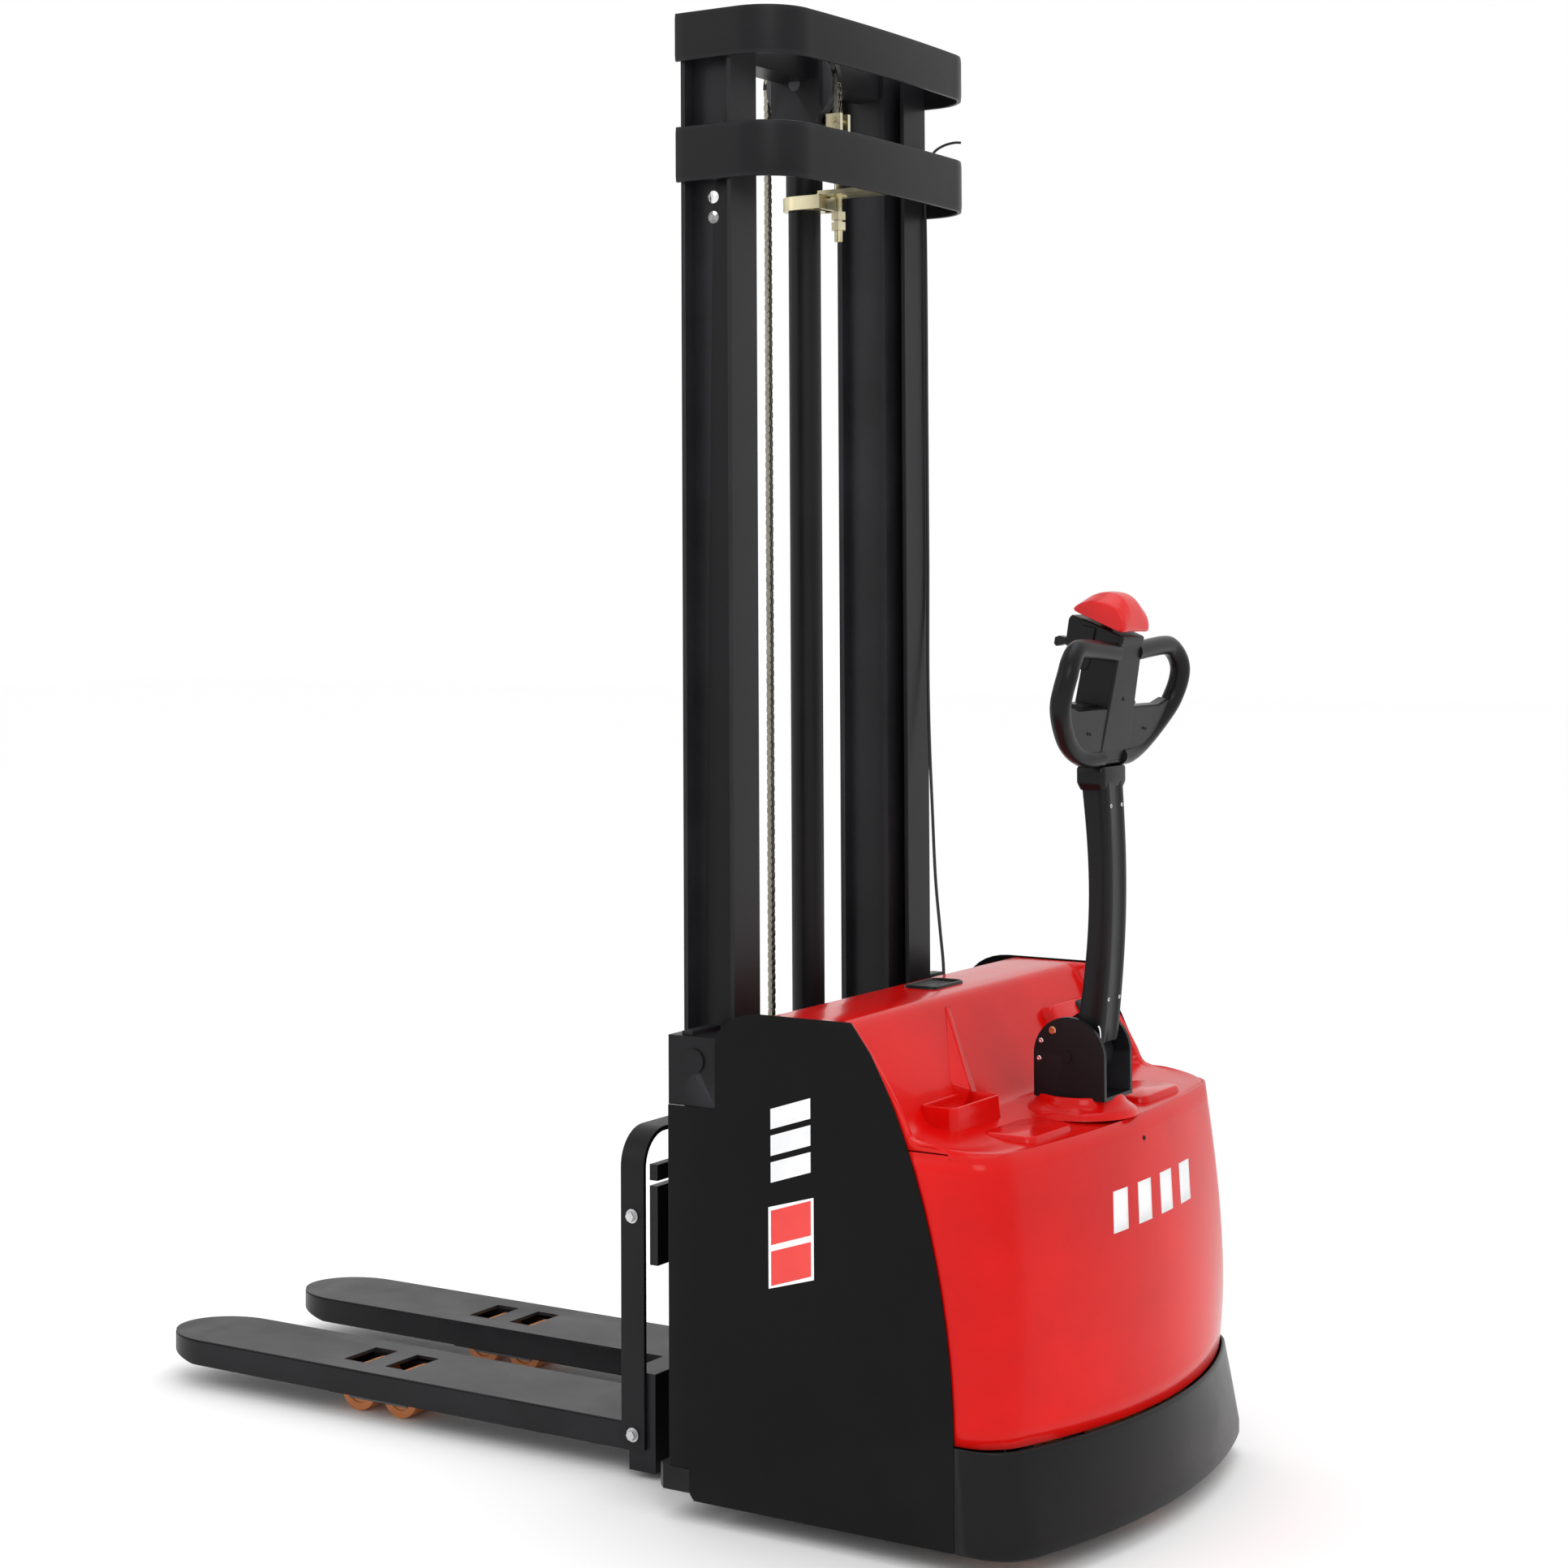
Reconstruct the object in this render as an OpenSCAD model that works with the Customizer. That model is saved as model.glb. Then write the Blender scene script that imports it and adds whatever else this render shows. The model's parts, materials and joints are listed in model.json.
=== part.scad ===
/* [Overall] */
// Length from the fork tips to the rear skirt
overall_l = 2000; // [1980:5:2020]
// Width over the two side panels
body_w = 850; // [840:2:860]
// Height of the lowered mast
mast_h = 2463; // [2455:1:2470]
// Height of the hood's ridge
hood_h = 823; // [818:1:828]
// Gap between the floor and the lowest panel
ground_gap = 36; // [32:1:40]

/* [Forks] */
// Length of a fork in front of the carriage
fork_l = 1112; // [1102:5:1122]
// Width of one fork
fork_w = 188; // [186:1:190]
// Width over both forks
fork_spread = 555; // [553:1:557]
// Height of the lowered fork's top
fork_h = 90; // [89:1:91]
// Depth of the fork's channel
fork_d = 46; // [44:1:48]

/* [Mast] */
// Depth of every mast beam, front to back
beam_d = 100; // [99:0.5:101]
// Width of a fixed beam's flanges
fixed_flange_w = 78; // [77:0.5:79]
// Width of a moving beam's flanges
moving_flange_w = 66; // [65:0.5:67]
// Width over the fixed beams
mast_w = 654; // [652:1:656]
// Stroke of the lift cylinder
lift_stroke = 1750; // [1700:10:1750]

/* [Wheels] */
// Diameter of the drive wheel
drive_d = 230; // [226:2:234]
// Diameter of the load rollers
load_d = 80; // [79:0.5:81]
// Diameter of the caster wheels
caster_d = 124; // [120:1:126]

/* [Tiller] */
// Height of the tilting axis above the floor
tilt_z = 734; // [732:1:738]
// Width over the tiller's two hand loops
head_w = 476; // [460:2:480]

/* [Hidden] */
$fn = 64;
eps = 0.01;

// places along the truck, front (-X) to back (+X)
tip_x = -overall_l / 2;
rear_x = overall_l / 2;
heel_x = tip_x + fork_l;
mast_x = heel_x + 198;
moving_x = mast_x - 25;
cyl_x = mast_x - 10;
panel_x0 = mast_x - 16;
steer_x = rear_x - 174;
ridge_x0 = mast_x + 164;
ridge_x1 = ridge_x0 + 146;
half_w = body_w / 2;

// side panels and covers
panel_t = 4;
cover_t = 4;
cover_y = half_w - panel_t - 1;
deck_z = 645;
deck_x0 = ridge_x1 + 98;
skirt_top = 195;
cover_gap = 2;
cover_low_x = rear_x - 16;
cover_top_x = rear_x - 83;
cover_low_r = 920;
cover_top_r = 2200;
skirt_low_r = 1220;
skirt_top_r = 950;

// forks and support legs
fork_y = (fork_spread - fork_w) / 2;
plate_t = 6;
leg_w = 106;
leg_z0 = 36;
leg_z1 = 78;
bogie_x = tip_x + 515;
roller_pitch = 98;
roller_w = 82;
slot_l = 52;
slot_offset = -5;
slot_w = 92;
bogie_z = 44;

// mast beams
flange_t = 8;
moving_flange_t = 10;
web_t = 8;
fixed_y1 = mast_w / 2;
fixed_y0 = fixed_y1 - fixed_flange_w;
fixed_web_y = fixed_y0 + 40;
fixed_z0 = 86;
fixed_z1 = mast_h - 34;
moving_y0 = fixed_y0 - 30;
moving_web_y = fixed_y0 - 10;
moving_z0 = 90;
moving_z1 = mast_h - 4;
band_t = 10;
band_h = 81;
fixed_band_z0 = 2179;
fixed_band_h = 93;
band_x0 = mast_x - 54;
band_x1 = mast_x + 166;
band_r = 90;

// mast rollers: pairs on common axes
roller_gap = 0.4;
fixed_bore_w = beam_d - 2 * flange_t;
moving_bore_w = beam_d - 2 * moving_flange_t;
upper_roller_z = fixed_z1 - 50;
lower_roller_z = moving_z0 + 60;
upper_roller_r = moving_bore_w / 2 - roller_gap;
lower_roller_r = fixed_bore_w / 2 - roller_gap;
carriage_roller_z = [140, 560];
carriage_roller_r = moving_bore_w / 2 - roller_gap;

// lift cylinder and chain
barrel_r = 28.4;
barrel_bore_r = 22;
barrel_z0 = 120;
barrel_z1 = 2240;
rod_r = 17.5;
run_gap = 0.05;
pulley_x = cyl_x - 3;
pulley_z = 2384;
pulley_r = 68;
chain_r = 73;
chain_t = 10;
chain_w = 14;
yoke_z0 = 2290;
strand_z0 = 2322;
collar_z = 2161;
nut_z = 2124;

// carriage
beam_x0 = heel_x;
beam_x1 = heel_x + 54;
hoop_x0 = heel_x - 13;
hoop_w = 50;
hoop_t = 8;
hoop_z0 = 50;
hoop_z1 = 608;
carriage_hw = fork_spread / 2 + 2;
hoop_r = 118;
side_plate_y = moving_y0 - 16;

// drive unit and casters
drive_w = 75;
mount_z = 270;
caster_x = steer_x - 22;
caster_y = 300;
plate_hw = 385;
caster_w = 44;
caster_offset = 30;

// tiller
clevis_x = steer_x + 5;
clevis_r = 64;
clevis_y = 52;
plate_z0 = 672;
collar_r = 81;
turntable_r = 58;
tilt_x = steer_x + 1;
head_x = steer_x + 81;
head_z0 = 1205;
head_pivot = 145;
head_lean = 10.4;

// instrument panel on the hood's sloped wall
wall_angle = atan2(deck_x0 - ridge_x1, hood_h - deck_z);
panel_pos = [ridge_x1 + 46, 265, hood_h - 85];

// the children on the right (s = 1), or mirrored to the left (s = -1)
module children_at(s) {
    if (s < 0) mirror([0, 1, 0]) children();
    if (s > 0) children();
}

module box(lo, hi) {
    translate(lo) cube([hi[0] - lo[0], hi[1] - lo[1], hi[2] - lo[2]]);
}

// a straight cylinder along Y, centred on y
module rod_y(x, y, z, r, length) {
    translate([x, y + length / 2, z]) rotate([90, 0, 0]) cylinder(r = r, h = length);
}

module rod_x(x, y, z, r, length) {
    translate([x, y, z]) rotate([0, 90, 0]) cylinder(r = r, h = length);
}

// I-shaped beam section standing on the plane z = 0, flanges across X
module beam_section(depth, y0, width, web_y, flange) {
    for (x = [-depth / 2, depth / 2 - flange]) translate([x, y0]) square([flange, width]);
    translate([-depth / 2, web_y]) square([depth, web_t]);
}

// rounded rear end of the truck in plan: a wide arc and two corners that meet the sides
rear_corner_r = 80;

function rear_points(x1, hw, arc, corner = rear_corner_r, steps = 10) =
    let (
        bx = x1 - arc,
        cy = hw - corner,
        cx = bx + sqrt(pow(arc - corner, 2) - cy * cy),
        t0 = atan2(cy, cx - bx)
    )
    concat(
        [for (i = [0 : steps]) let (t = -90 + (90 - t0) * i / steps) [cx + corner * cos(t), -cy + corner * sin(t)]],
        [for (i = [1 : steps - 1]) let (t = -t0 + 2 * t0 * i / steps) [bx + arc * cos(t), arc * sin(t)]],
        [for (i = [0 : steps]) let (t = t0 + (90 - t0) * i / steps) [cx + corner * cos(t), cy + corner * sin(t)]]
    );

module rear_plan(front, x1, hw, arc, corner = rear_corner_r) {
    polygon(concat([[front, -hw]], rear_points(x1, hw, arc, corner), [[front, hw]]));
}

// shell between two rear plans [x1, arc] at z0 and z1, open at the top, bottom and front
module rear_shell(front, low, high, z0, z1, hw, wall) {
    difference() {
        hull() {
            translate([0, 0, z0]) linear_extrude(eps) rear_plan(front, low[0], hw, low[1]);
            translate([0, 0, z1 - eps]) linear_extrude(eps) rear_plan(front, high[0], hw, high[1]);
        }
        hull() {
            translate([0, 0, z0 - 1]) linear_extrude(eps)
                rear_plan(front - 1, low[0] - wall, hw - wall, low[1] - wall, rear_corner_r - wall);
            translate([0, 0, z1 + 1]) linear_extrude(eps)
                rear_plan(front - 1, high[0] - wall, hw - wall, high[1] - wall, rear_corner_r - wall);
        }
    }
}

// ---------------------------------------------------------------- chassis

module mast_foot_box() {
    difference() {
        box([panel_x0 - 1, fixed_y1, 665], [mast_x + 75, half_w - 4, 777]);
        rod_y(mast_x + 33, half_w, 738, 8.5, 40);
    }
    rod_y(mast_x + 33, half_w - 3, 738, 20, 6);
    box([panel_x0 + 22, fixed_y1 + 6, 777], [panel_x0 + 42, half_w - 10, 784]);
}

module chassis_frame() color("dimgray") {
    side_y = half_w - panel_t - 1;
    // side plates behind the panels
    children_at(1) chassis_side(side_y);
    children_at(-1) chassis_side(side_y);
    // battery tray, front bulkhead and cross members
    box([mast_x + 56, -side_y + 8, 42], [650, side_y - 8, 50]);
    box([mast_x + 56, -side_y + 8, 50], [mast_x + 62, side_y - 8, 620]);
    box([644, -side_y + 8, 50], [650, side_y - 8, mount_z]);
    // drive plate with the hole of the slewing ring
    difference() {
        translate([0, 0, mount_z]) linear_extrude(12) rear_plan(640, rear_x - 50, plate_hw, cover_low_r);
        translate([steer_x, 0, mount_z - 1]) cylinder(r = 92, h = 14);
    }
    for (s = [-1, 1]) children_at(s) box([644, plate_hw, mount_z], [700, side_y - 8, mount_z + 12]);
    translate([steer_x, 0, mount_z]) difference() {
        cylinder(r = 104, h = 24);
        translate([0, 0, -1]) cylinder(r = 92, h = 26);
    }
    // caster plates
    for (s = [-1, 1]) difference() {
        translate([caster_x - 60, s * caster_y - 50, 160]) cube([120, 100, 8]);
        translate([caster_x, s * caster_y, 150]) cylinder(r = 10.05, h = 30);
    }
    for (s = [-1, 1]) children_at(s)
        box([caster_x - 60, caster_y + 38, 168], [caster_x + 60, caster_y + 50, mount_z]);
    // ties of the fixed mast
    box([mast_x + 28, -fixed_web_y, 62], [mast_x + 40, fixed_web_y, 98]);
    box([mast_x + 40, -60, 62], [mast_x + 56, 60, 98]);
    box([mast_x + 50, -fixed_y0, 300], [mast_x + 56, fixed_y0, 420]);
    // cylinder seat
    box([mast_x - 38, -40, barrel_z0 - 22], [mast_x + 56, 40, barrel_z0]);
    // upper end of the bulkhead and the ledge under the hood's front
    box([mast_x + 56, -cover_y + 8, 620], [mast_x + 62, cover_y - 8, 735]);
    difference() {
        box([mast_x + 56, -cover_y + 8, 735], [ridge_x0 - 1, cover_y - 8, 741]);
        translate([mast_x + 142, 210, 730]) cylinder(r = cable_r + 1, h = 20);
    }
}

module chassis_side(side_y) {
    box([mast_x + 56, side_y - 8, 42], [700, side_y, 640]);
    box([panel_x0 - 1, fixed_y1, 86], [mast_x + 56, fixed_y1 + 10, 665]);
    box([mast_x + 50, fixed_y1 + 10, 62], [mast_x + 56, side_y, 620]);
    mast_foot_box();
}

module support_leg() {
    // box section with a slot for the tandem rollers, on a root block at the body
    difference() {
        union() {
            box([bogie_x - 112, fork_y - leg_w / 2, leg_z0 - 8], [mast_x + 5, fork_y + leg_w / 2, leg_z1]);
            box([panel_x0 - 26, fork_y - leg_w / 2, 47], [mast_x + 24, half_w, 85]);
        }
        box([bogie_x - 100, fork_y - roller_w / 2 - 5, 20], [bogie_x + 100, fork_y + roller_w / 2 + 5, 100]);
        box([bogie_x + 112, fork_y - leg_w / 2 + 6, leg_z0 - 2], [mast_x - 60, fork_y + leg_w / 2 - 6, leg_z1 - 6]);
        rod_y(bogie_x, fork_y, bogie_z, 8.05, leg_w + 2);
        translate([panel_x0 - 26, half_w, 0]) rotate([0, 0, 45]) translate([-10, -10, 0]) cube([20, 20, 100]);
    }
}

module bogie() {
    cheek_y = roller_w / 2 + 1;
    for (s = [-1, 1])
        translate([0, fork_y + s * (cheek_y + 1.5) - 1.5, 0])
            box([bogie_x - 68, 0, bogie_z - 22], [bogie_x + 68, 3, bogie_z + 12]);
    for (x = [-1, 1]) rod_y(bogie_x + x * roller_pitch / 2, fork_y, load_d / 2, 8, 2 * cheek_y);
    // the centre pin is fast in the cheeks and turns in the leg
    rod_y(bogie_x, fork_y, bogie_z, 8, leg_w - 2);
}

module load_roller(s, x) {
    z = load_d / 2;
    translate([bogie_x + x * roller_pitch / 2, s * fork_y, z]) rotate([90, 0, 0]) difference() {
        translate([0, 0, -roller_w / 2]) cylinder(d = load_d, h = roller_w);
        translate([0, 0, -roller_w / 2 - 1]) cylinder(r = 8.05, h = roller_w + 2);
        for (e = [-1, 1]) translate([0, 0, e * roller_w / 2 - 3]) difference() {
            cylinder(r = 26, h = 6);
            cylinder(r = 14, h = 14, center = true);
        }
    }
}

module battery_pack() color("slategray") {
    difference() {
        box([mast_x + 70, -340, 52], [636, 340, 480]);
        box([mast_x + 74, -336, 450], [632, 336, 482]);
    }
    for (y = [-222, 0, 222]) box([mast_x + 80, y - 104, 450], [626, y + 104, 468]);
    for (y = [-280, -164, -58, 58, 164, 280]) translate([mast_x + 110, y, 468]) cylinder(r = 9, h = 14);
}

module hydraulic_unit() color("darkslategray") {
    // pump motor, valve block and tank on the drive plate
    translate([715, -235, mount_z + 12]) cylinder(r = 46, h = 165);
    box([672, -285, mount_z + 177], [758, -168, mount_z + 222]);
    box([662, -175, mount_z + 12], [738, -80, mount_z + 200]);
    translate([700, -112, mount_z + 200]) cylinder(r = 16, h = 22);
    rod_x(758, -235, mount_z + 200, 9, 26);
}

module motor_controller() color("silver") {
    box([668, 110, mount_z + 12], [742, 280, mount_z + 24]);
    for (i = [0 : 7]) box([672, 116 + i * 20, mount_z + 24], [738, 122 + i * 20, mount_z + 52]);
    for (y = [150, 195, 240]) translate([705, y, mount_z + 52]) cylinder(r = 8, h = 18);
    box([672, 116, mount_z + 50], [738, 262, mount_z + 54]);
}

// ------------------------------------------------------------- fixed mast

module fixed_upright() {
    difference() {
        translate([mast_x, 0, fixed_z0]) linear_extrude(fixed_z1 - fixed_z0)
            beam_section(beam_d, fixed_y0, fixed_flange_w, fixed_web_y, flange_t);
        // notch that lets the upper roller reach into the moving beam
        box([mast_x - beam_d / 2 - 1, fixed_y0 - 1, upper_roller_z - 46],
            [mast_x - beam_d / 2 + flange_t + 1, fixed_web_y - 0.5, fixed_z1 + 1]);
        for (z = [2160, 2128]) rod_y(mast_x - 2, fixed_web_y + 4, z, 4, 20);
    }
    // stub axle of the upper roller
    rod_y(moving_x, fixed_web_y - 17, upper_roller_z, 12, 34);
}

module band_plan(x0, r_out, y_out, x_back) {
    difference() {
        band_face(x0, r_out, y_out, x_back);
        translate([-1, 0]) band_face(x0, r_out - band_t, y_out - band_t, x_back - band_t + 1);
    }
}

// outline of a hoop round the back of the mast, its back slightly bowed
module band_face(x0, r, y, x_back) {
    bow = 8;
    arc = [for (i = [0 : 10]) let (t = 9 * i) [x_back - bow - r + r * sin(t), y - r + r * cos(t)]];
    back = [for (i = [1 : 7]) let (k = 1 - i / 4) [x_back - bow * k * k, (y - r) * k]];
    polygon(concat([[x0, y]], arc, back, [for (i = [10 : -1 : 0]) [arc[i][0], -arc[i][1]]], [[x0, -y]]));
}

module fixed_mast_band() color("#2b2a2d") {
    translate([0, 0, fixed_band_z0]) linear_extrude(fixed_band_h)
        band_plan(band_x0, band_r, fixed_y1 + band_t, band_x1);
}

module upper_mast_rollers() color("silver") {
    for (s = [-1, 1]) roller(moving_x, s * (fixed_y0 + 20), upper_roller_z, upper_roller_r, 28);
}

module roller(x, y, z, r, w) {
    difference() {
        rod_y(x, y, z, r, w);
        rod_y(x, y, z, 12.05, w + 2);
    }
}

module lift_cylinder() color("#222222") {
    difference() {
        union() {
            translate([cyl_x, 0, barrel_z0]) cylinder(r = barrel_r, h = barrel_z1 - barrel_z0);
            translate([cyl_x, 0, collar_z + 24.5]) cylinder(r = barrel_r + 4, h = barrel_z1 - collar_z - 24.5);
            translate([cyl_x, 0, barrel_z0]) cylinder(r = barrel_r + 6, h = 40);
        }
        translate([cyl_x, 0, barrel_z0 + 20]) cylinder(r = barrel_bore_r, h = barrel_z1 - barrel_z0 - 60);
        translate([cyl_x, 0, barrel_z1 - 50]) cylinder(r = rod_r + run_gap, h = 60);
    }
    rod_x(cyl_x + barrel_r, 0, barrel_z0 + 26, 10, 22);
}

module chain_anchor() color("#b5a878") {
    x = pulley_x + chain_r;
    plate_z = fixed_band_z0 + 5;
    // plate inside the band, clamp on the cylinder's head, bolt, nuts and clevis
    difference() {
        box([x - 22, -34, plate_z], [band_x1 - band_t - 2, 34, plate_z + 8]);
        translate([x, 0, plate_z - 3]) cylinder(r = 7, h = 14);
    }
    difference() {
        union() {
            translate([cyl_x, 0, collar_z]) cylinder(r = barrel_r + 9, h = 24);
            box([cyl_x, -38, collar_z], [x - 20, -32, collar_z + 24]);
            box([cyl_x, 32, collar_z], [x - 20, 38, collar_z + 24]);
        }
        translate([cyl_x, 0, collar_z - 10]) cylinder(r = barrel_r, h = 50);
    }
    box([x - 22, -38, collar_z], [x - 16, 38, plate_z + 2]);
    translate([x, 0, nut_z - 20]) cylinder(r = 7, h = strand_z0 - nut_z - 14);
    for (z = [nut_z, nut_z + 18]) translate([x, 0, z]) cylinder(r = 14, h = 14, $fn = 6);
    translate([x, 0, plate_z - 3]) cylinder(r = 15, h = 3);
    box([x - 15, -17, strand_z0 - 39], [x + 15, 17, strand_z0 - 26]);
    for (s = [-1, 1]) translate([0, s * 13, 0]) box([x - 15, -4, strand_z0 - 26], [x + 15, 4, strand_z0 + 6]);
    rod_y(x, 0, strand_z0 - 6, 5, 40);
}

// ------------------------------------------------------------ lead to the mast

cable_r = 3;
cable_route = [
    [mast_x + 53, 318, 2258], [mast_x + 54, 320, 2150], [mast_x + 54, 321, 2000], [mast_x + 54, 321, 1850],
    [mast_x + 54, 321, 1700], [mast_x + 54, 321, 1548], [mast_x + 55, 318, 1450], [mast_x + 60, 308, 1340],
    [mast_x + 70, 294, 1220], [mast_x + 85, 276, 1100], [mast_x + 105, 250, 980], [mast_x + 126, 228, 890],
    [mast_x + 139, 216, 830], [mast_x + 142, 212, 780], [mast_x + 142, 210, 738]
];

function unit(v) = v / norm(v);
function tangent(p, i) = unit(p[min(i + 1, len(p) - 1)] - p[max(i - 1, 0)]);
function ring(c, t, r, sides) =
    let (u = unit(cross(t, [0, 1, 0.2])), w = cross(t, u))
    [for (k = [0 : sides - 1]) c + r * (cos(360 * k / sides) * u + sin(360 * k / sides) * w)];

module tube(route, r, sides = 8) {
    n = len(route);
    pts = [for (i = [0 : n - 1]) each ring(route[i], tangent(route, i), r, sides)];
    walls = [for (i = [0 : n - 2], k = [0 : sides - 1])
        [i * sides + k, i * sides + (k + 1) % sides, (i + 1) * sides + (k + 1) % sides, (i + 1) * sides + k]];
    first = [for (k = [sides - 1 : -1 : 0]) k];
    last = [for (k = [0 : sides - 1]) (n - 1) * sides + k];
    polyhedron(points = pts, faces = concat(walls, [first], [last]));
}

module mast_cable() color("black") tube(cable_route, cable_r);

module cable_fittings() color("#161616") {
    // cover of the hood's lifting opening
    translate([ridge_x0 + 61, 28, hood_h]) {
        box([-37, -72, 0], [37, 72, 5]);
        box([-32, -67, -12], [32, 67, 0]);
    }
    // grommet in the ledge, clip on the upright and tie at the top
    difference() {
        translate([mast_x + 142, 210, 741]) cylinder(r = 12, h = 8);
        translate([mast_x + 142, 210, 740]) cylinder(r = cable_r + 1, h = 10);
    }
    box([mast_x + 50, 312, 1538], [mast_x + 60, 317.8, 1552]);
    box([mast_x + 50, 316, 2266], [mast_x + 60, 324, 2272]);
}

// ---------------------------------------------------------------- covers

// outline of a side panel: [x, z], its front top corner rounded, its rear edge bowed
function panel_rear(k) = [
    640 + 178 * pow(1 - pow(1 - k, 1.95), 0.82),
    hood_h - k * (hood_h - skirt_top)
];

function panel_outline() = concat(
    [[mast_x + 32, ground_gap], [mast_x + 24, 46], [mast_x + 24, 86], [panel_x0, 86], [panel_x0, 665]],
    [[mast_x + 75, 665], [mast_x + 75, 765]],
    [for (i = [1 : 8]) let (t = 90 * i / 8) [mast_x + 161 - 86 * cos(t), 765 + (hood_h - 765) * sin(t)]],
    [for (i = [0 : 14]) panel_rear(i / 14)],
    [[818, ground_gap]]
);

module side_panel() {
    translate([0, half_w, 0]) rotate([90, 0, 0]) linear_extrude(panel_t) polygon(panel_outline());
}

// hood cross-section along X: ridge, sloped wall and the start of the deck
function hood_profile() = [
    [ridge_x0, 690], [ridge_x0, hood_h], [ridge_x1, hood_h], [deck_x0, deck_z], [deck_x0 + 20, deck_z],
    [deck_x0 + 20, deck_z - cover_t], [deck_x0 - 2, deck_z - cover_t], [ridge_x1 - 2.5, hood_h - cover_t],
    [ridge_x0 + cover_t, hood_h - cover_t], [ridge_x0 + cover_t, 690]
];

module hood() color("#e01010") difference() {
    union() {
        translate([0, cover_y, 0]) rotate([90, 0, 0]) linear_extrude(2 * cover_y) polygon(hood_profile());
        // deck with its rounded end
        translate([0, 0, deck_z - cover_t]) linear_extrude(cover_t)
            rear_plan(deck_x0, cover_top_x, cover_y, cover_top_r);
        // raised cheeks at the two sides of the wall
        for (s = [-1, 1]) translate([0, s * (cover_y - 12) + 12, 0]) rotate([90, 0, 0])
            linear_extrude(24) polygon([
                [ridge_x1 - 10, hood_h - 8], [ridge_x1 + 16, hood_h - 6], [ridge_x1 + 62, 742],
                [ridge_x1 + 108, 668], [deck_x0 + 50, deck_z], [deck_x0 - 2, deck_z - 2]
            ]);
        // collar round the steering column
        translate([steer_x, 0, deck_z - 30]) cylinder(r = collar_r, h = 48);
        // storage tray and the wedge beside it
        box([deck_x0 - 20, -310, deck_z - 1], [deck_x0 + 57, -150, deck_z + 50]);
        translate([0, -28, 0]) rotate([90, 0, 0]) linear_extrude(64)
            polygon([[ridge_x1 + 8, hood_h - 17], [deck_x0 + 26, deck_z], [deck_x0 - 2, deck_z]]);
        // socket for the instrument panel on the wall
        translate(panel_pos) rotate([0, 90 - wall_angle, 0])
            box([-58, -98, -10], [58, 98, 16]);
        // raised pads on the deck
        box([steer_x - 30, -270, deck_z - 1], [steer_x + 40, -120, deck_z + 5]);
        box([steer_x - 30, 120, deck_z - 1], [steer_x + 40, 270, deck_z + 5]);
    }
    translate([steer_x, 0, deck_z - 40]) cylinder(r = turntable_r + 4, h = 80);
    box([deck_x0 + 5, -305, deck_z + 2], [deck_x0 + 52, -155, deck_z + 60]);
    translate([ridge_x0 + 61, 28, hood_h - 20]) box([-32.5, -67.5, 0], [32.5, 67.5, 30]);
    // room behind the instrument panel
    translate(panel_pos) rotate([0, 90 - wall_angle, 0]) box([-52, -92, -30], [52, 92, 17]);
    for (y = [-1, 1]) translate([rear_x - 102, y * 150, deck_z - 10]) cylinder(r = 3, h = 20);
}

module rear_cover() color("#e01010") difference() {
    rear_shell(702, [cover_low_x, cover_low_r], [cover_top_x, cover_top_r], skirt_top + cover_gap,
        deck_z - cover_t - 0.5, cover_y, cover_t);
    rod_x(rear_x - 100, 0, 596, 3, 60);
}

module skirt() color("#1c1c1c") {
    rear_shell(819, [rear_x, skirt_low_r], [rear_x - 12, skirt_top_r], ground_gap, skirt_top, half_w, 5);
    // lugs that hold the skirt to the caster plates
    for (s = [-1, 1]) children_at(s)
        box([caster_x - 10, caster_y + 62, 130], [caster_x + 30, half_w - 4, 142]);
}

module instrument_panel() color("#1a1a1a") {
    translate(panel_pos) rotate([0, 90 - wall_angle, 0]) difference() {
        union() {
            box([-51.5, -91.5, 8], [51.5, 91.5, 18]);
            box([-34, -52, -22], [34, 30, 8]);
        }
        box([-26, -46, 16.5], [26, 24, 30]);
        translate([0, 52, -25]) cylinder(r = 8.05, h = 60);
        translate([0, 78, -25]) cylinder(r = 8.05, h = 60);
    }
}

module panel_place(y) {
    translate(panel_pos) rotate([0, 90 - wall_angle, 0]) translate([0, y, 0]) children();
}

module key_switch() color("silver") panel_place(52) {
    cylinder(r = 8, h = 21);
    box([-9, -1.5, 21], [9, 1.5, 40]);
}

module emergency_stop() color("red") panel_place(78) {
    translate([0, 0, -8]) cylinder(r = 8, h = 34);
    translate([0, 0, 26]) cylinder(r = 13, h = 12);
}

// ------------------------------------------------------------ moving mast

module moving_beam() {
    difference() {
        translate([moving_x, 0, moving_z0]) linear_extrude(moving_z1 - moving_z0)
            beam_section(beam_d, moving_y0, moving_flange_w, moving_web_y, moving_flange_t);
        // clears the lower roller at the foot of the beam
        box([moving_x + beam_d / 2 - moving_flange_t - 1, moving_web_y + web_t, moving_z0 - 1],
            [moving_x + beam_d / 2 + 1, moving_y0 + moving_flange_w + 1, lower_roller_z + 46]);
        // clears the fixed beam's front flange
        box([moving_x - beam_d / 2 - 1, moving_y0 + moving_flange_w - 1, moving_z0 - 1],
            [moving_x - beam_d / 2, moving_y0 + moving_flange_w + 1, moving_z1]);
    }
    rod_y(mast_x, moving_web_y + web_t + 18, lower_roller_z, 12, 36);
}

module moving_mast_band() color("#2b2a2d") {
    translate([0, 0, mast_h - band_h]) linear_extrude(band_h)
        band_plan(band_x0, band_r, fixed_y1 + band_t + 1, band_x1);
    // gussets from the moving beams over the fixed ones
    for (s = [-1, 1]) children_at(s)
        box([mast_x - 46, moving_y0 + moving_flange_w, fixed_z1 + 6], [mast_x + 56, fixed_y1 + 1.5, mast_h - 6]);
}

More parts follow.
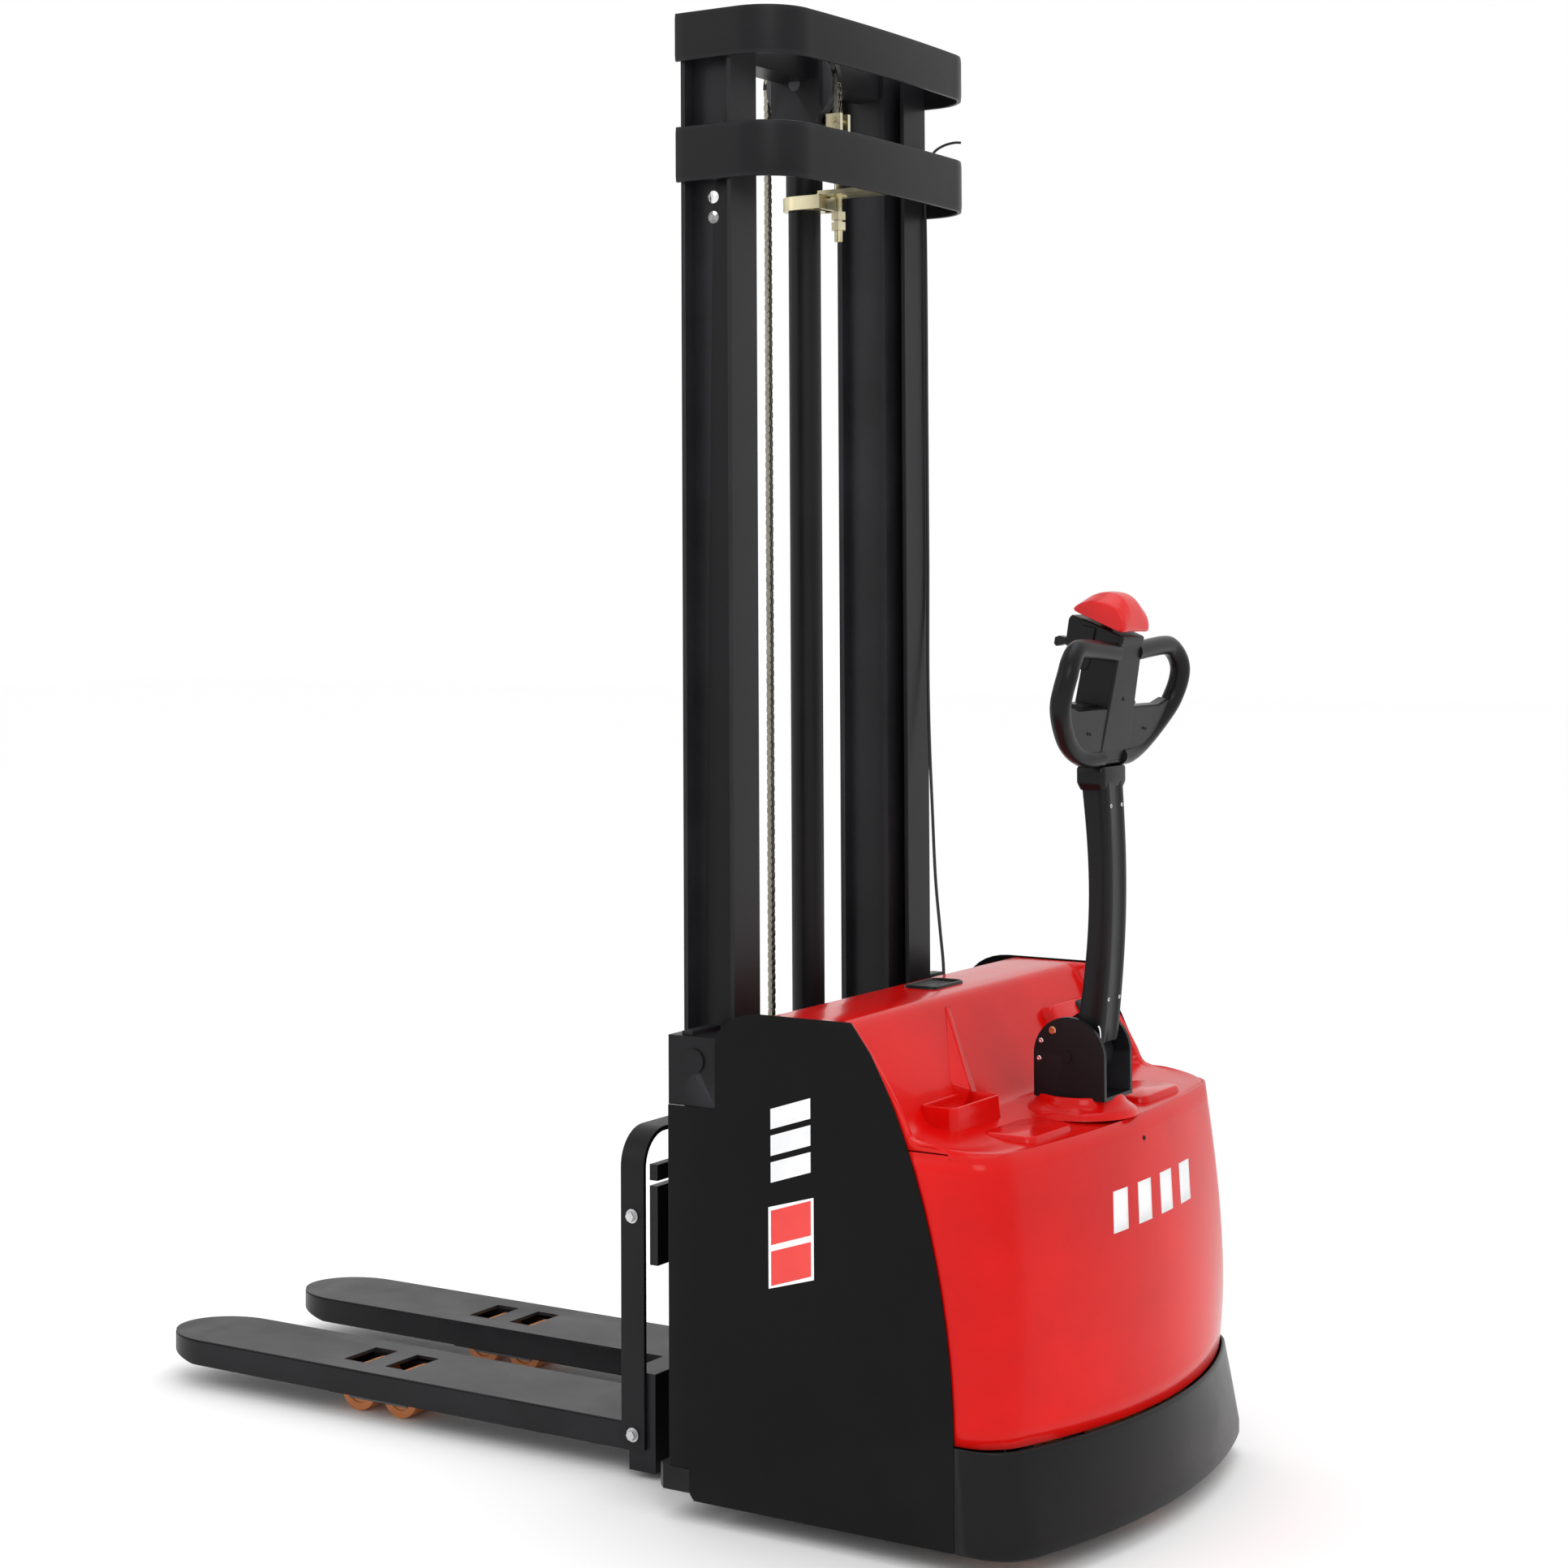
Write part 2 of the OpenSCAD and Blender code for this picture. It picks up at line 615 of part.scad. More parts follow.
module mast_crosshead() color("#242326") {
    for (s = [-1, 1]) children_at(s) {
        box([moving_x - 20, 28, mast_h - 74], [moving_x + 40, moving_web_y, mast_h - 6]);
        difference() {
            box([pulley_x - 48, 18, yoke_z0], [pulley_x + 51, 28, mast_h - 6]);
            rod_y(pulley_x, 23, pulley_z, 12.05, 20);
        }
    }
    box([pulley_x - 48, -18, yoke_z0], [pulley_x + 51, 18, yoke_z0 + 22]);
    // half turn of chain over the pulley, with the keepers that hold it in the yoke
    for (s = [-1, 1]) box([pulley_x + s * 22 - 4, -20, pulley_z + chain_r - 4], [pulley_x + s * 22 + 4, 20, mast_h - 6]);
    translate([pulley_x, chain_w / 2, pulley_z]) rotate([90, 0, 0]) difference() {
        cylinder(r = chain_r + chain_t / 2, h = chain_w);
        translate([0, 0, -1]) cylinder(r = chain_r - chain_t / 2, h = chain_w + 2);
        translate([-200, -200, -1]) cube([400, 200, chain_w + 2]);
    }
}

module mast_lower_tie() color("#242326") {
    x = moving_x + beam_d / 2;
    box([x, -moving_web_y - 6, 190], [x + 10, moving_web_y + 6, 262]);
}

module lift_rod() color("gainsboro") {
    translate([cyl_x, 0, barrel_z0 + 60]) cylinder(r = barrel_bore_r - run_gap, h = 50);
    translate([cyl_x, 0, barrel_z0 + 60]) cylinder(r = rod_r, h = yoke_z0 - barrel_z0 - 60);
}

module chain_pulley() color("#4a4a4d") {
    rod_y(pulley_x, 0, pulley_z, pulley_r - 1, chain_w + 1);
    for (s = [-1, 1]) rod_y(pulley_x, s * (chain_w / 2 + 2.5), pulley_z, pulley_r, 4);
    rod_y(pulley_x, 0, pulley_z, 12, 55);
}

module lower_mast_rollers() color("silver") {
    for (s = [-1, 1]) roller(mast_x, s * (fixed_y0 + 20), lower_roller_z, lower_roller_r, 28);
}

module chain_strand(x, z0, z1) {
    box([x - chain_t / 2, -chain_w / 2, z0], [x + chain_t / 2, chain_w / 2, z1]);
}

module chain_fixed_strand() color("#3a382c") chain_strand(pulley_x + chain_r, strand_z0, pulley_z);

module chain_lift_strand() color("#3a382c") chain_strand(pulley_x - chain_r, 572, pulley_z);

// --------------------------------------------------------------- carriage

module carriage_frame() color("#232225") {
    half = carriage_hw;
    // lower beam, notched over the two legs, back plate and top rail
    box([beam_x0, -half, leg_z1 + 6], [beam_x1, half, 178]);
    box([beam_x0, -fork_y + leg_w / 2 + 3, 24], [beam_x1, fork_y - leg_w / 2 - 3, leg_z1 + 6]);
    for (s = [-1, 1]) children_at(s) {
        box([beam_x0, fork_y + leg_w / 2 + 3, 12], [beam_x1, half, leg_z1 + 6]);
        // side plate with the roller stubs
        box([beam_x1 - 12, side_plate_y, 95], [moving_x + 36, side_plate_y + 12, 600]);
        for (z = carriage_roller_z) rod_y(moving_x, side_plate_y + 22, z, 12, 24);
    }
    box([heel_x + 44, -half, 360], [beam_x1 + 6, half, 493]);
    box([heel_x + 44, -half, 502], [beam_x1 + 6, half, 529]);
    for (s = [-1, 1]) children_at(s) box([heel_x + 44, side_plate_y, 483], [beam_x1, side_plate_y + 12, 513]);
    // chain anchor bracket
    difference() {
        box([pulley_x - chain_r - 16, -side_plate_y, 548], [pulley_x - chain_r + 16, side_plate_y, 572]);
        translate([pulley_x - chain_r, 0, 540]) cylinder(r = 6, h = 12);
    }
}

function fork_points(w, nose, x_end) = concat(
    [[x_end, w / 2]],
    [for (i = [0 : 24]) let (t = 90 + 180 * i / 24) [tip_x + nose + nose * cos(t), w / 2 * sin(t)]],
    [[x_end, -w / 2]]
);

module fork() translate([0, fork_y, 0]) {
    difference() {
        union() {
            translate([0, 0, fork_h - plate_t]) linear_extrude(plate_t)
                polygon(fork_points(fork_w - 5, 118, heel_x));
            translate([0, 0, fork_h - fork_d]) linear_extrude(fork_d - 3) difference() {
                polygon(fork_points(fork_w, 120, heel_x));
                polygon(fork_points(fork_w - 12, 114, heel_x + 1));
            }
        }
        for (x = [-1, 1])
            box([bogie_x + x * roller_pitch / 2 - slot_l / 2 + slot_offset, -slot_w / 2, fork_h - 20],
                [bogie_x + x * roller_pitch / 2 + slot_l / 2 + slot_offset, slot_w / 2, fork_h + 1]);
        translate([tip_x, -fork_w, fork_h - fork_d + 16]) rotate([0, 9, 0])
            translate([-50, 0, -60]) cube([180, 2 * fork_w, 60]);
    }
    // nose filling between the flanges
    intersection() {
        translate([0, 0, fork_h - 30]) linear_extrude(26) polygon(fork_points(fork_w - 10, 115, tip_x + 200));
        box([tip_x, -fork_w, fork_h - 30], [tip_x + 60, fork_w, fork_h]);
    }
}

function hoop_points(inset) =
    let (y = carriage_hw + hoop_t - inset, z = hoop_z1 - inset, r = hoop_r - inset)
    concat(
        [[y, hoop_z0]],
        [for (i = [0 : 12]) let (t = 7.5 * i) [y - r + r * cos(t), z - r + r * sin(t)]],
        [for (i = [12 : -1 : 0]) let (t = 7.5 * i) [-(y - r + r * cos(t)), z - r + r * sin(t)]],
        [[-y, hoop_z0]]
    );

module guard_hoop() color("#1d1c1f") {
    translate([hoop_x0, 0, 0]) rotate([90, 0, 90]) linear_extrude(hoop_w) difference() {
        polygon(hoop_points(0));
        translate([0, -1]) polygon(hoop_points(hoop_t));
    }
}

module guard_bolts() color("silver") {
    y = carriage_hw + hoop_t;
    for (s = [-1, 1], z = [74, 440]) children_at(s) {
        translate([hoop_x0 + 27, y + 3, z]) rotate([90, 0, 0]) cylinder(r = 12, h = 3);
        translate([hoop_x0 + 27, y + 10, z]) rotate([90, 0, 0]) cylinder(r = 8.5, h = 7, $fn = 6);
    }
}

module carriage_rollers(z) color("silver") {
    for (s = [-1, 1]) roller(moving_x, s * (moving_y0 + 9), z, carriage_roller_r, 16);
}

// -------------------------------------------------------- steering and drive

module tiller_clevis() color("#18171a") {
    for (s = [-1, 1]) children_at(s) difference() {
        translate([0, clevis_y, 0]) rotate([90, 0, 0]) linear_extrude(8) union() {
            translate([clevis_x - clevis_r, plate_z0]) square([2 * clevis_r, tilt_z - plate_z0]);
            translate([clevis_x, tilt_z]) circle(r = clevis_r);
        }
        rod_y(tilt_x, clevis_y - 4, tilt_z, 9.05, 20);
    }
    box([clevis_x - clevis_r, -clevis_y, plate_z0 - 6], [clevis_x + clevis_r, clevis_y, plate_z0]);
    // turntable and the column down to the drive motor
    translate([steer_x, 0, deck_z + 4]) cylinder(r = turntable_r, h = plate_z0 - 6 - deck_z - 4);
    translate([steer_x, 0, mount_z + 275]) cylinder(r = 30, h = deck_z + 4 - mount_z - 275);
}

module tiller_pin() color("silver") {
    rod_y(tilt_x, 0, tilt_z, 9, 2 * clevis_y + 6);
}

module drive_unit() color("#3c3c3f") {
    // slewing ring, gear case beside the wheel, and the wheel's axle
    translate([steer_x, 0, mount_z - 26]) cylinder(r = 92 - run_gap, h = 60);
    box([steer_x - 45, drive_w / 2 + 4, drive_d / 2 - 48], [steer_x + 45, drive_w / 2 + 48, mount_z - 20]);
    rod_y(steer_x, drive_w / 2 + 26, drive_d / 2, 48, 44);
    rod_y(steer_x, 1, drive_d / 2, 17, drive_w + 10);
}

module drive_motor() color("#55565a") {
    translate([steer_x, 0, mount_z + 34]) cylinder(r = 70, h = 190);
    for (i = [0 : 5]) translate([steer_x, 0, mount_z + 50 + i * 28]) cylinder(r = 73, h = 8);
    // parking brake on top of the motor
    translate([steer_x, 0, mount_z + 224]) cylinder(r = 52, h = 51);
    rod_x(steer_x + 60, 0, mount_z + 190, 14, 34);
}

module drive_wheel() color("#c4622a") {
    difference() {
        rod_y(steer_x, 0, drive_d / 2, drive_d / 2, drive_w);
        rod_y(steer_x, 0, drive_d / 2, 17.05, drive_w + 2);
        rod_y(steer_x, -drive_w / 2, drive_d / 2, 62, 20);
        for (a = [0 : 72 : 288])
            rod_y(steer_x + 44 * cos(a), 0, drive_d / 2 + 44 * sin(a), 7, drive_w + 2);
    }
}

module caster_yoke() {
    top = 160;
    difference() {
        union() {
            translate([caster_x, caster_y, top - 14]) cylinder(r = 36, h = 13);
            translate([caster_x, caster_y, top - 14]) cylinder(r = 10, h = 34);
            for (s = [-1, 1]) translate([0, caster_y + s * (caster_w / 2 + 5) - 3, 0])
                box([caster_x - 12, 0, caster_d / 2 - 16], [caster_x + caster_offset + 18, 6, top - 14]);
            box([caster_x - 12, caster_y - caster_w / 2 - 8, top - 18],
                [caster_x + caster_offset + 18, caster_y + caster_w / 2 + 8, top - 13]);
        }
        rod_y(caster_x + caster_offset, caster_y, caster_d / 2, 7, 100);
    }
    rod_y(caster_x + caster_offset, caster_y, caster_d / 2, 7, caster_w + 18);
}

module caster_wheel(s) {
    y = s * caster_y;
    x = caster_x + caster_offset;
    difference() {
        rod_y(x, y, caster_d / 2, caster_d / 2, caster_w);
        rod_y(x, y, caster_d / 2, 7.05, caster_w + 2);
        for (e = [-1, 1]) difference() {
            rod_y(x, y + e * caster_w / 2, caster_d / 2, 40, 10);
            rod_y(x, y + e * caster_w / 2, caster_d / 2, 16, 12);
        }
    }
}

// ----------------------------------------------------------------- tiller

// centre line of the arm: [x, z], bowed towards the operator
function arm_line(k) = [
    tilt_x + 29 + 12 * k + 16 * sin(180 * k),
    tilt_z + 22 + (head_z0 - tilt_z - 22) * k
];

module tiller_arm() color("#1b1a1d") {
    n = 12;
    half = [for (i = [0 : n]) 24.5 - 4 * sin(180 * i / n)];
    difference() {
        union() {
            translate([0, 35, 0]) rotate([90, 0, 0]) linear_extrude(70) polygon(concat(
                [for (i = [0 : n]) arm_line(i / n) - [half[i], 0]],
                [for (i = [n : -1 : 0]) arm_line(i / n) + [half[i], 0]]
            ));
            rod_y(tilt_x, 0, tilt_z, 40, 84);
        }
        rod_y(tilt_x, 0, tilt_z, 9.05, 100);
    }
    // collar under the head
    box([head_x - 64, -45, head_z0 - 25], [head_x - 13, 45, head_z0]);
}

// the head leans back towards the operator, so its pieces share one inclined frame
module head_frame() {
    translate([head_x, 0, head_z0 + head_pivot]) rotate([0, head_lean, 0])
        translate([0, 0, -head_pivot]) children();
}

// outline of one hand loop from the centre line outwards: [y, z] in the head's frame
function loop_outline() = [
    [0, 20], [70, 2], [92, 10], [130, 31], [176, 59], [218, 97], [236, 132],
    [238, 158], [224, 181], [196, 197], [155, 208], [114, 212], [0, 212]
];

function loop_opening() = [
    [51, 97], [150, 97], [172, 104], [190, 122], [202, 142], [205, 156], [198, 168], [180, 177], [51, 178]
];

module head_plate(points, depth) {
    for (s = [-1, 1]) translate([-depth / 2, 0, 0]) rotate([90, 0, 90])
        linear_extrude(depth) scale_y(s) polygon([for (p = points) [p[0] * head_w / 476, p[1]]]);
}

module scale_y(s) {
    if (s < 0) mirror([1, 0]) children();
    if (s > 0) children();
}

throttle_pos = [-70, 196];
rocker_pos = [-44, 128];
horn_z = 82;

module tiller_head() color("#151417") {
    head_frame() difference() {
        union() {
            head_plate(loop_outline(), 32);
            // centre column, deeper than the loops, and the block for the thumb levers
            hull() {
                box([-54, -52, 10], [12, 52, 11]);
                box([-54, -42, 211], [12, 42, 212]);
            }
            box([-92, -38, 182], [-50, 38, 222]);
        }
        head_plate(loop_opening(), 40);
        box([-96, -31, 178], [-58, 31, 210]);
        box([-60, -16, 106], [-38, 16, 150]);
        head_stems();
    }
    // foot that sits on the arm's collar
    box([head_x - 66, -50, head_z0], [head_x - 8, 50, head_z0 + 34]);
}

// bores for the buttons' stems and shafts
module head_stems() {
    rod_y(throttle_pos[0], 0, throttle_pos[1], 4.05, 78);
    rod_y(rocker_pos[0], 0, rocker_pos[1], 3.05, 44);
    rod_x(-60, 0, horn_z, 9.05, 20);
    translate([-38, 0, 190]) cylinder(r = 10.05, h = 40);
}

module belly_button() color("#d01818") head_frame() {
    translate([-38, 0, 244]) rotate([0, 12, 0]) hull() {
        box([-50, -44, -14], [50, 44, -10]);
        box([-52, -50, -4], [52, 50, 12]);
        box([-34, -36, 26], [30, 36, 34]);
    }
    translate([-38, 0, 200]) cylinder(r = 10, h = 34);
}

module throttle_rocker() color("#1a1a1c") head_frame() {
    // two thumb wings on one shaft at the front of the head
    rod_y(throttle_pos[0], 0, throttle_pos[1], 7, 58);
    rod_y(throttle_pos[0], 0, throttle_pos[1], 4, 76);
    for (s = [-1, 1]) children_at(s) {
        box([-106, 14, throttle_pos[1] - 5], [-70, 29, throttle_pos[1] + 5]);
        box([-117, 10, throttle_pos[1] - 7], [-101, 29, throttle_pos[1] + 4]);
    }
}

module lift_rocker() color("#303034") head_frame() {
    box([-57, -14, 108], [-47, 14, 148]);
    rod_y(rocker_pos[0], 0, rocker_pos[1], 3, 42);
    rod_y(rocker_pos[0], 0, rocker_pos[1], 5, 28);
}

module horn_button() color("#d8b020") head_frame() {
    rod_x(-58, 0, horn_z, 9, 14);
}

// ------------------------------------------------------------------ parts

chassis_frame();
color("#262528") mirror([0, 1, 0]) support_leg();  // support_leg_left
color("#262528") support_leg();  // support_leg_right
battery_pack();
hydraulic_unit();
motor_controller();
color("#1f1e22") mirror([0, 1, 0]) fixed_upright();  // fixed_upright_left
color("#1f1e22") fixed_upright();  // fixed_upright_right
fixed_mast_band();
lift_cylinder();
chain_anchor();
mast_cable();
cable_fittings();
color("#1d1d1d") mirror([0, 1, 0]) side_panel();  // side_panel_left
color("#1d1d1d") side_panel();  // side_panel_right
hood();
rear_cover();
skirt();
instrument_panel();
upper_mast_rollers();
color("#232226") mirror([0, 1, 0]) moving_beam();  // moving_beam_left
color("#232226") moving_beam();  // moving_beam_right
moving_mast_band();
mast_crosshead();
mast_lower_tie();
lift_rod();
chain_pulley();
lower_mast_rollers();
chain_fixed_strand();
chain_lift_strand();
carriage_frame();
color("#201f22") mirror([0, 1, 0]) fork();  // fork_left
color("#201f22") fork();  // fork_right
guard_hoop();
guard_bolts();
carriage_rollers(carriage_roller_z[1]);  // upper_carriage_rollers
carriage_rollers(carriage_roller_z[0]);  // lower_carriage_rollers
tiller_clevis();
drive_unit();
drive_motor();
drive_wheel();
tiller_pin();
tiller_arm();
tiller_head();
belly_button();
throttle_rocker();
lift_rocker();
horn_button();
key_switch();
emergency_stop();
color("#303033") mirror([0, 1, 0]) bogie();  // bogie_left
color("#303033") bogie();  // bogie_right
color("#b5652f") load_roller(-1, -1);  // load_roller_left_front
color("#b5652f") load_roller(-1, 1);  // load_roller_left_rear
color("#b5652f") load_roller(1, -1);  // load_roller_right_front
color("#b5652f") load_roller(1, 1);  // load_roller_right_rear
color("silver") mirror([0, 1, 0]) caster_yoke();  // caster_yoke_left
color("silver") caster_yoke();  // caster_yoke_right
color("#b5652f") caster_wheel(-1);  // caster_wheel_left
color("#b5652f") caster_wheel(1);  // caster_wheel_right
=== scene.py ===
"""Walkie stacker: detailed pieces, materials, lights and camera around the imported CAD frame."""

import json
import math

import bmesh
import bpy
from mathutils import Matrix, Vector


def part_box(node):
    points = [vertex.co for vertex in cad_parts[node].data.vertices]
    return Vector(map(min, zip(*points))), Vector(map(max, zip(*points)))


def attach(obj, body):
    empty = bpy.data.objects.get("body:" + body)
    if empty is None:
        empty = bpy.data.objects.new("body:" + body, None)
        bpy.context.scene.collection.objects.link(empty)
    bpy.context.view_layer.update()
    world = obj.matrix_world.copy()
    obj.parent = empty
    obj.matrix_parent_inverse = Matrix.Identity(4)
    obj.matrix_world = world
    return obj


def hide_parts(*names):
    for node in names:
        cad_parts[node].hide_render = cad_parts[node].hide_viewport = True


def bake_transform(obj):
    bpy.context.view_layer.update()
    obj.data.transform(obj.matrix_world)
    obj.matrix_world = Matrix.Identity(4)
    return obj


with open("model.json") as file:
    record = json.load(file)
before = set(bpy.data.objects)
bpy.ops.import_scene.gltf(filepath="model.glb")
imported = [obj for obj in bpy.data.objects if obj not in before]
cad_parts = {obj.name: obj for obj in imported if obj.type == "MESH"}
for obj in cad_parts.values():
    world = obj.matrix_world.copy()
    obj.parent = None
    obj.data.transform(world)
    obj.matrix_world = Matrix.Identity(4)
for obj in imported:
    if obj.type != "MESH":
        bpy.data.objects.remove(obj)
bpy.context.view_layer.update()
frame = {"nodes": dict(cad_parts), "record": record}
NODES = frame["nodes"]
MM = 0.001

# ---------------------------------------------------------------- places, in millimetres


def node_box(name):
    """Lowest and highest corner of a CAD node in millimetres."""
    low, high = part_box(name)
    return [v / MM for v in low], [v / MM for v in high]


MAST_LOW, MAST_HIGH = node_box("fixed_upright_right")
HALF_W = node_box("side_panel_right")[1][1]
COVER_HW = HALF_W - 5
MAST_X = (MAST_LOW[0] + MAST_HIGH[0]) / 2
MAST_Y = MAST_HIGH[1]
REAR_X = node_box("skirt")[1][0]
HOOD_Z = 823
RIDGE_Z = 820
RIDGE_X0 = node_box("hood")[0][0]
RIDGE_X1 = RIDGE_X0 + 146
DECK_X0 = RIDGE_X1 + 98
DECK_Z = 645
STEER_X = REAR_X - 174
PULLEY_X = MAST_X - 13
PULLEY_Z = 2384
CHAIN_R = 73
TILT_X = STEER_X + 1
TILT_Z = 734
HEAD_X = STEER_X + 81
HEAD_Z = 1205
HEAD_PIVOT = 145
HEAD_LEAN = math.radians(10.4)
HEAD = (
    Matrix.Translation((HEAD_X, 0, HEAD_Z + HEAD_PIVOT))
    @ Matrix.Rotation(HEAD_LEAN, 4, "Y")
    @ Matrix.Translation((0, 0, -HEAD_PIVOT))
)

# ---------------------------------------------------------------- materials


def node(tree, kind, **inputs):
    """A shader node with the given input values; a value that is a socket is linked."""
    made = tree.nodes.new(kind)
    for key, value in inputs.items():
        socket = made.inputs[int(key[1:])] if key[0] == "_" else made.inputs[key.replace("_", " ")]
        if isinstance(value, bpy.types.NodeSocket):
            tree.links.new(value, socket)
        else:
            socket.default_value = value
    return made


def blend_ramp(tree, factor, low, high, first, last):
    ramp = node(tree, "ShaderNodeValToRGB", Fac=factor)
    ramp.color_ramp.elements[0].position = low
    ramp.color_ramp.elements[1].position = high
    ramp.color_ramp.elements[0].color = (*first, 1)
    ramp.color_ramp.elements[1].color = (*last, 1)
    return ramp.outputs["Color"]


def finish_material(name, color, worn, rough, grain, bump, metal=0.0, coat=0.0, cloud=6.0, coat_rough=0.05,
                    stretch=(1, 1, 1), specular=0.5):
    """Painted, moulded or metal finish: cloudy colour, patchy roughness, fine grain and worn edges."""
    material = bpy.data.materials.new(name)
    material.use_nodes = True
    tree = material.node_tree
    shader = tree.nodes["Principled BSDF"]
    place = tree.nodes.new("ShaderNodeTexCoord").outputs["Object"]
    mapped = node(tree, "ShaderNodeMapping", Vector=place)
    mapped.inputs["Scale"].default_value = stretch
    spot = mapped.outputs["Vector"]
    clouds = node(tree, "ShaderNodeTexNoise", Vector=spot, Scale=cloud, Detail=5.0, Roughness=0.6)
    fine = node(tree, "ShaderNodeTexNoise", Vector=spot, Scale=grain, Detail=3.0, Roughness=0.55)
    dark = tuple(c * 0.86 for c in color)
    light = tuple(min(1.0, c * 1.12) for c in color)
    base = blend_ramp(tree, clouds.outputs["Fac"], 0.35, 0.68, dark, light)
    edge = blend_ramp(tree, tree.nodes.new("ShaderNodeNewGeometry").outputs["Pointiness"],
                      0.53, 0.60, (0, 0, 0), (1, 1, 1))
    patchy = node(tree, "ShaderNodeMath", _0=edge, _1=clouds.outputs["Fac"])
    patchy.operation = "MULTIPLY"
    mixed = tree.nodes.new("ShaderNodeMix")
    mixed.data_type = "RGBA"
    tree.links.new(patchy.outputs[0], mixed.inputs["Factor"])
    tree.links.new(base, mixed.inputs[6])
    mixed.inputs[7].default_value = (*worn, 1)
    tree.links.new(mixed.outputs[2], shader.inputs["Base Color"])
    smear = node(tree, "ShaderNodeMapRange", Value=clouds.outputs["Fac"])
    smear.inputs["From Min"].default_value = 0.3
    smear.inputs["From Max"].default_value = 0.7
    smear.inputs["To Min"].default_value = rough * 0.85
    smear.inputs["To Max"].default_value = min(1.0, rough * 1.2)
    tree.links.new(smear.outputs["Result"], shader.inputs["Roughness"])
    relief = node(tree, "ShaderNodeBump", Strength=bump, Distance=0.0004, Height=fine.outputs["Fac"])
    tree.links.new(relief.outputs["Normal"], shader.inputs["Normal"])
    shader.inputs["Metallic"].default_value = metal
    shader.inputs["Coat Weight"].default_value = coat
    shader.inputs["Coat Roughness"].default_value = coat_rough
    shader.inputs["Specular IOR Level"].default_value = specular
    return material


FINISH = {
    "black_paint": dict(
        color=(0.0085, 0.0078, 0.0090), worn=(0.035, 0.034, 0.038),
        rough=0.36, grain=700, bump=0.25, specular=0.16,
    ),
    "panel_black": dict(
        color=(0.0060, 0.0056, 0.0058), worn=(0.02, 0.02, 0.02),
        rough=0.5, grain=1400, bump=0.5, specular=0.08,
    ),
    "red_plastic": dict(
        color=(0.62, 0.0030, 0.0020), worn=(0.68, 0.012, 0.009),
        rough=0.22, grain=90, bump=0.02, coat=0.14, cloud=2.5, coat_rough=0.04, specular=0.12,
    ),
    "black_plastic": dict(
        color=(0.0062, 0.0060, 0.0064), worn=(0.02, 0.02, 0.02),
        rough=0.3, grain=900, bump=0.2, specular=0.16,
    ),
    "grey_steel": dict(
        color=(0.10, 0.105, 0.11), worn=(0.3, 0.3, 0.3),
        rough=0.45, grain=500, bump=0.4,
    ),
    "roller_steel": dict(
        color=(0.52, 0.52, 0.53), worn=(0.7, 0.7, 0.7),
        rough=0.28, grain=300, bump=0.2, metal=1.0, stretch=(1, 8, 1),
    ),
    "zinc": dict(
        color=(0.62, 0.56, 0.36), worn=(0.75, 0.72, 0.6),
        rough=0.3, grain=260, bump=0.25, metal=1.0, cloud=30,
    ),
    "chain_steel": dict(
        color=(0.14, 0.125, 0.10), worn=(0.35, 0.33, 0.28),
        rough=0.35, grain=400, bump=0.3, metal=1.0, cloud=60,
    ),
    "rod_chrome": dict(
        color=(0.78, 0.78, 0.8), worn=(0.85, 0.85, 0.85),
        rough=0.09, grain=200, bump=0.04, metal=1.0,
    ),
    "polyurethane": dict(
        color=(0.62, 0.20, 0.05), worn=(0.72, 0.30, 0.10),
        rough=0.35, grain=350, bump=0.3, coat=0.15,
    ),
    "caster_tread": dict(
        color=(0.42, 0.16, 0.06), worn=(0.5, 0.25, 0.1),
        rough=0.45, grain=350, bump=0.35,
    ),
    "motor_grey": dict(
        color=(0.055, 0.055, 0.06), worn=(0.2, 0.2, 0.2),
        rough=0.5, grain=220, bump=0.7,
    ),
    "rubber": dict(
        color=(0.012, 0.012, 0.012), worn=(0.03, 0.03, 0.03),
        rough=0.6, grain=900, bump=0.3,
    ),
    "aluminium": dict(
        color=(0.58, 0.59, 0.6), worn=(0.7, 0.7, 0.7),
        rough=0.4, grain=260, bump=0.4, metal=1.0,
    ),
    "battery_case": dict(
        color=(0.05, 0.055, 0.065), worn=(0.1, 0.1, 0.1),
        rough=0.5, grain=300, bump=0.4,
    ),
    "yellow_plastic": dict(
        color=(0.75, 0.5, 0.03), worn=(0.8, 0.6, 0.1),
        rough=0.25, grain=300, bump=0.1, coat=0.3,
    ),
    "stop_red": dict(
        color=(0.60, 0.006, 0.006), worn=(0.66, 0.03, 0.025),
        rough=0.3, grain=300, bump=0.08, coat=0.2, cloud=12, specular=0.25,
    ),
}
MATERIALS = {name: finish_material(name, **values) for name, values in FINISH.items()}
MATERIALS["print_white"] = finish_material(
    "print_white", (0.86, 0.87, 0.89), (0.9, 0.9, 0.9), 0.35, 300, 0.05, coat=0.2)
MATERIALS["print_red"] = finish_material(
    "print_red", (0.72, 0.02, 0.015), (0.8, 0.05, 0.04), 0.35, 300, 0.05, coat=0.2)
MATERIALS["copper"] = finish_material(
    "copper", (0.55, 0.25, 0.12), (0.7, 0.4, 0.25), 0.3, 300, 0.2, metal=1.0)
MATERIALS["steel_bright"] = finish_material(
    "steel_bright", (0.78, 0.78, 0.79), (0.85, 0.85, 0.85), 0.22, 300, 0.1, metal=1.0)

# ---------------------------------------------------------------- mesh helpers


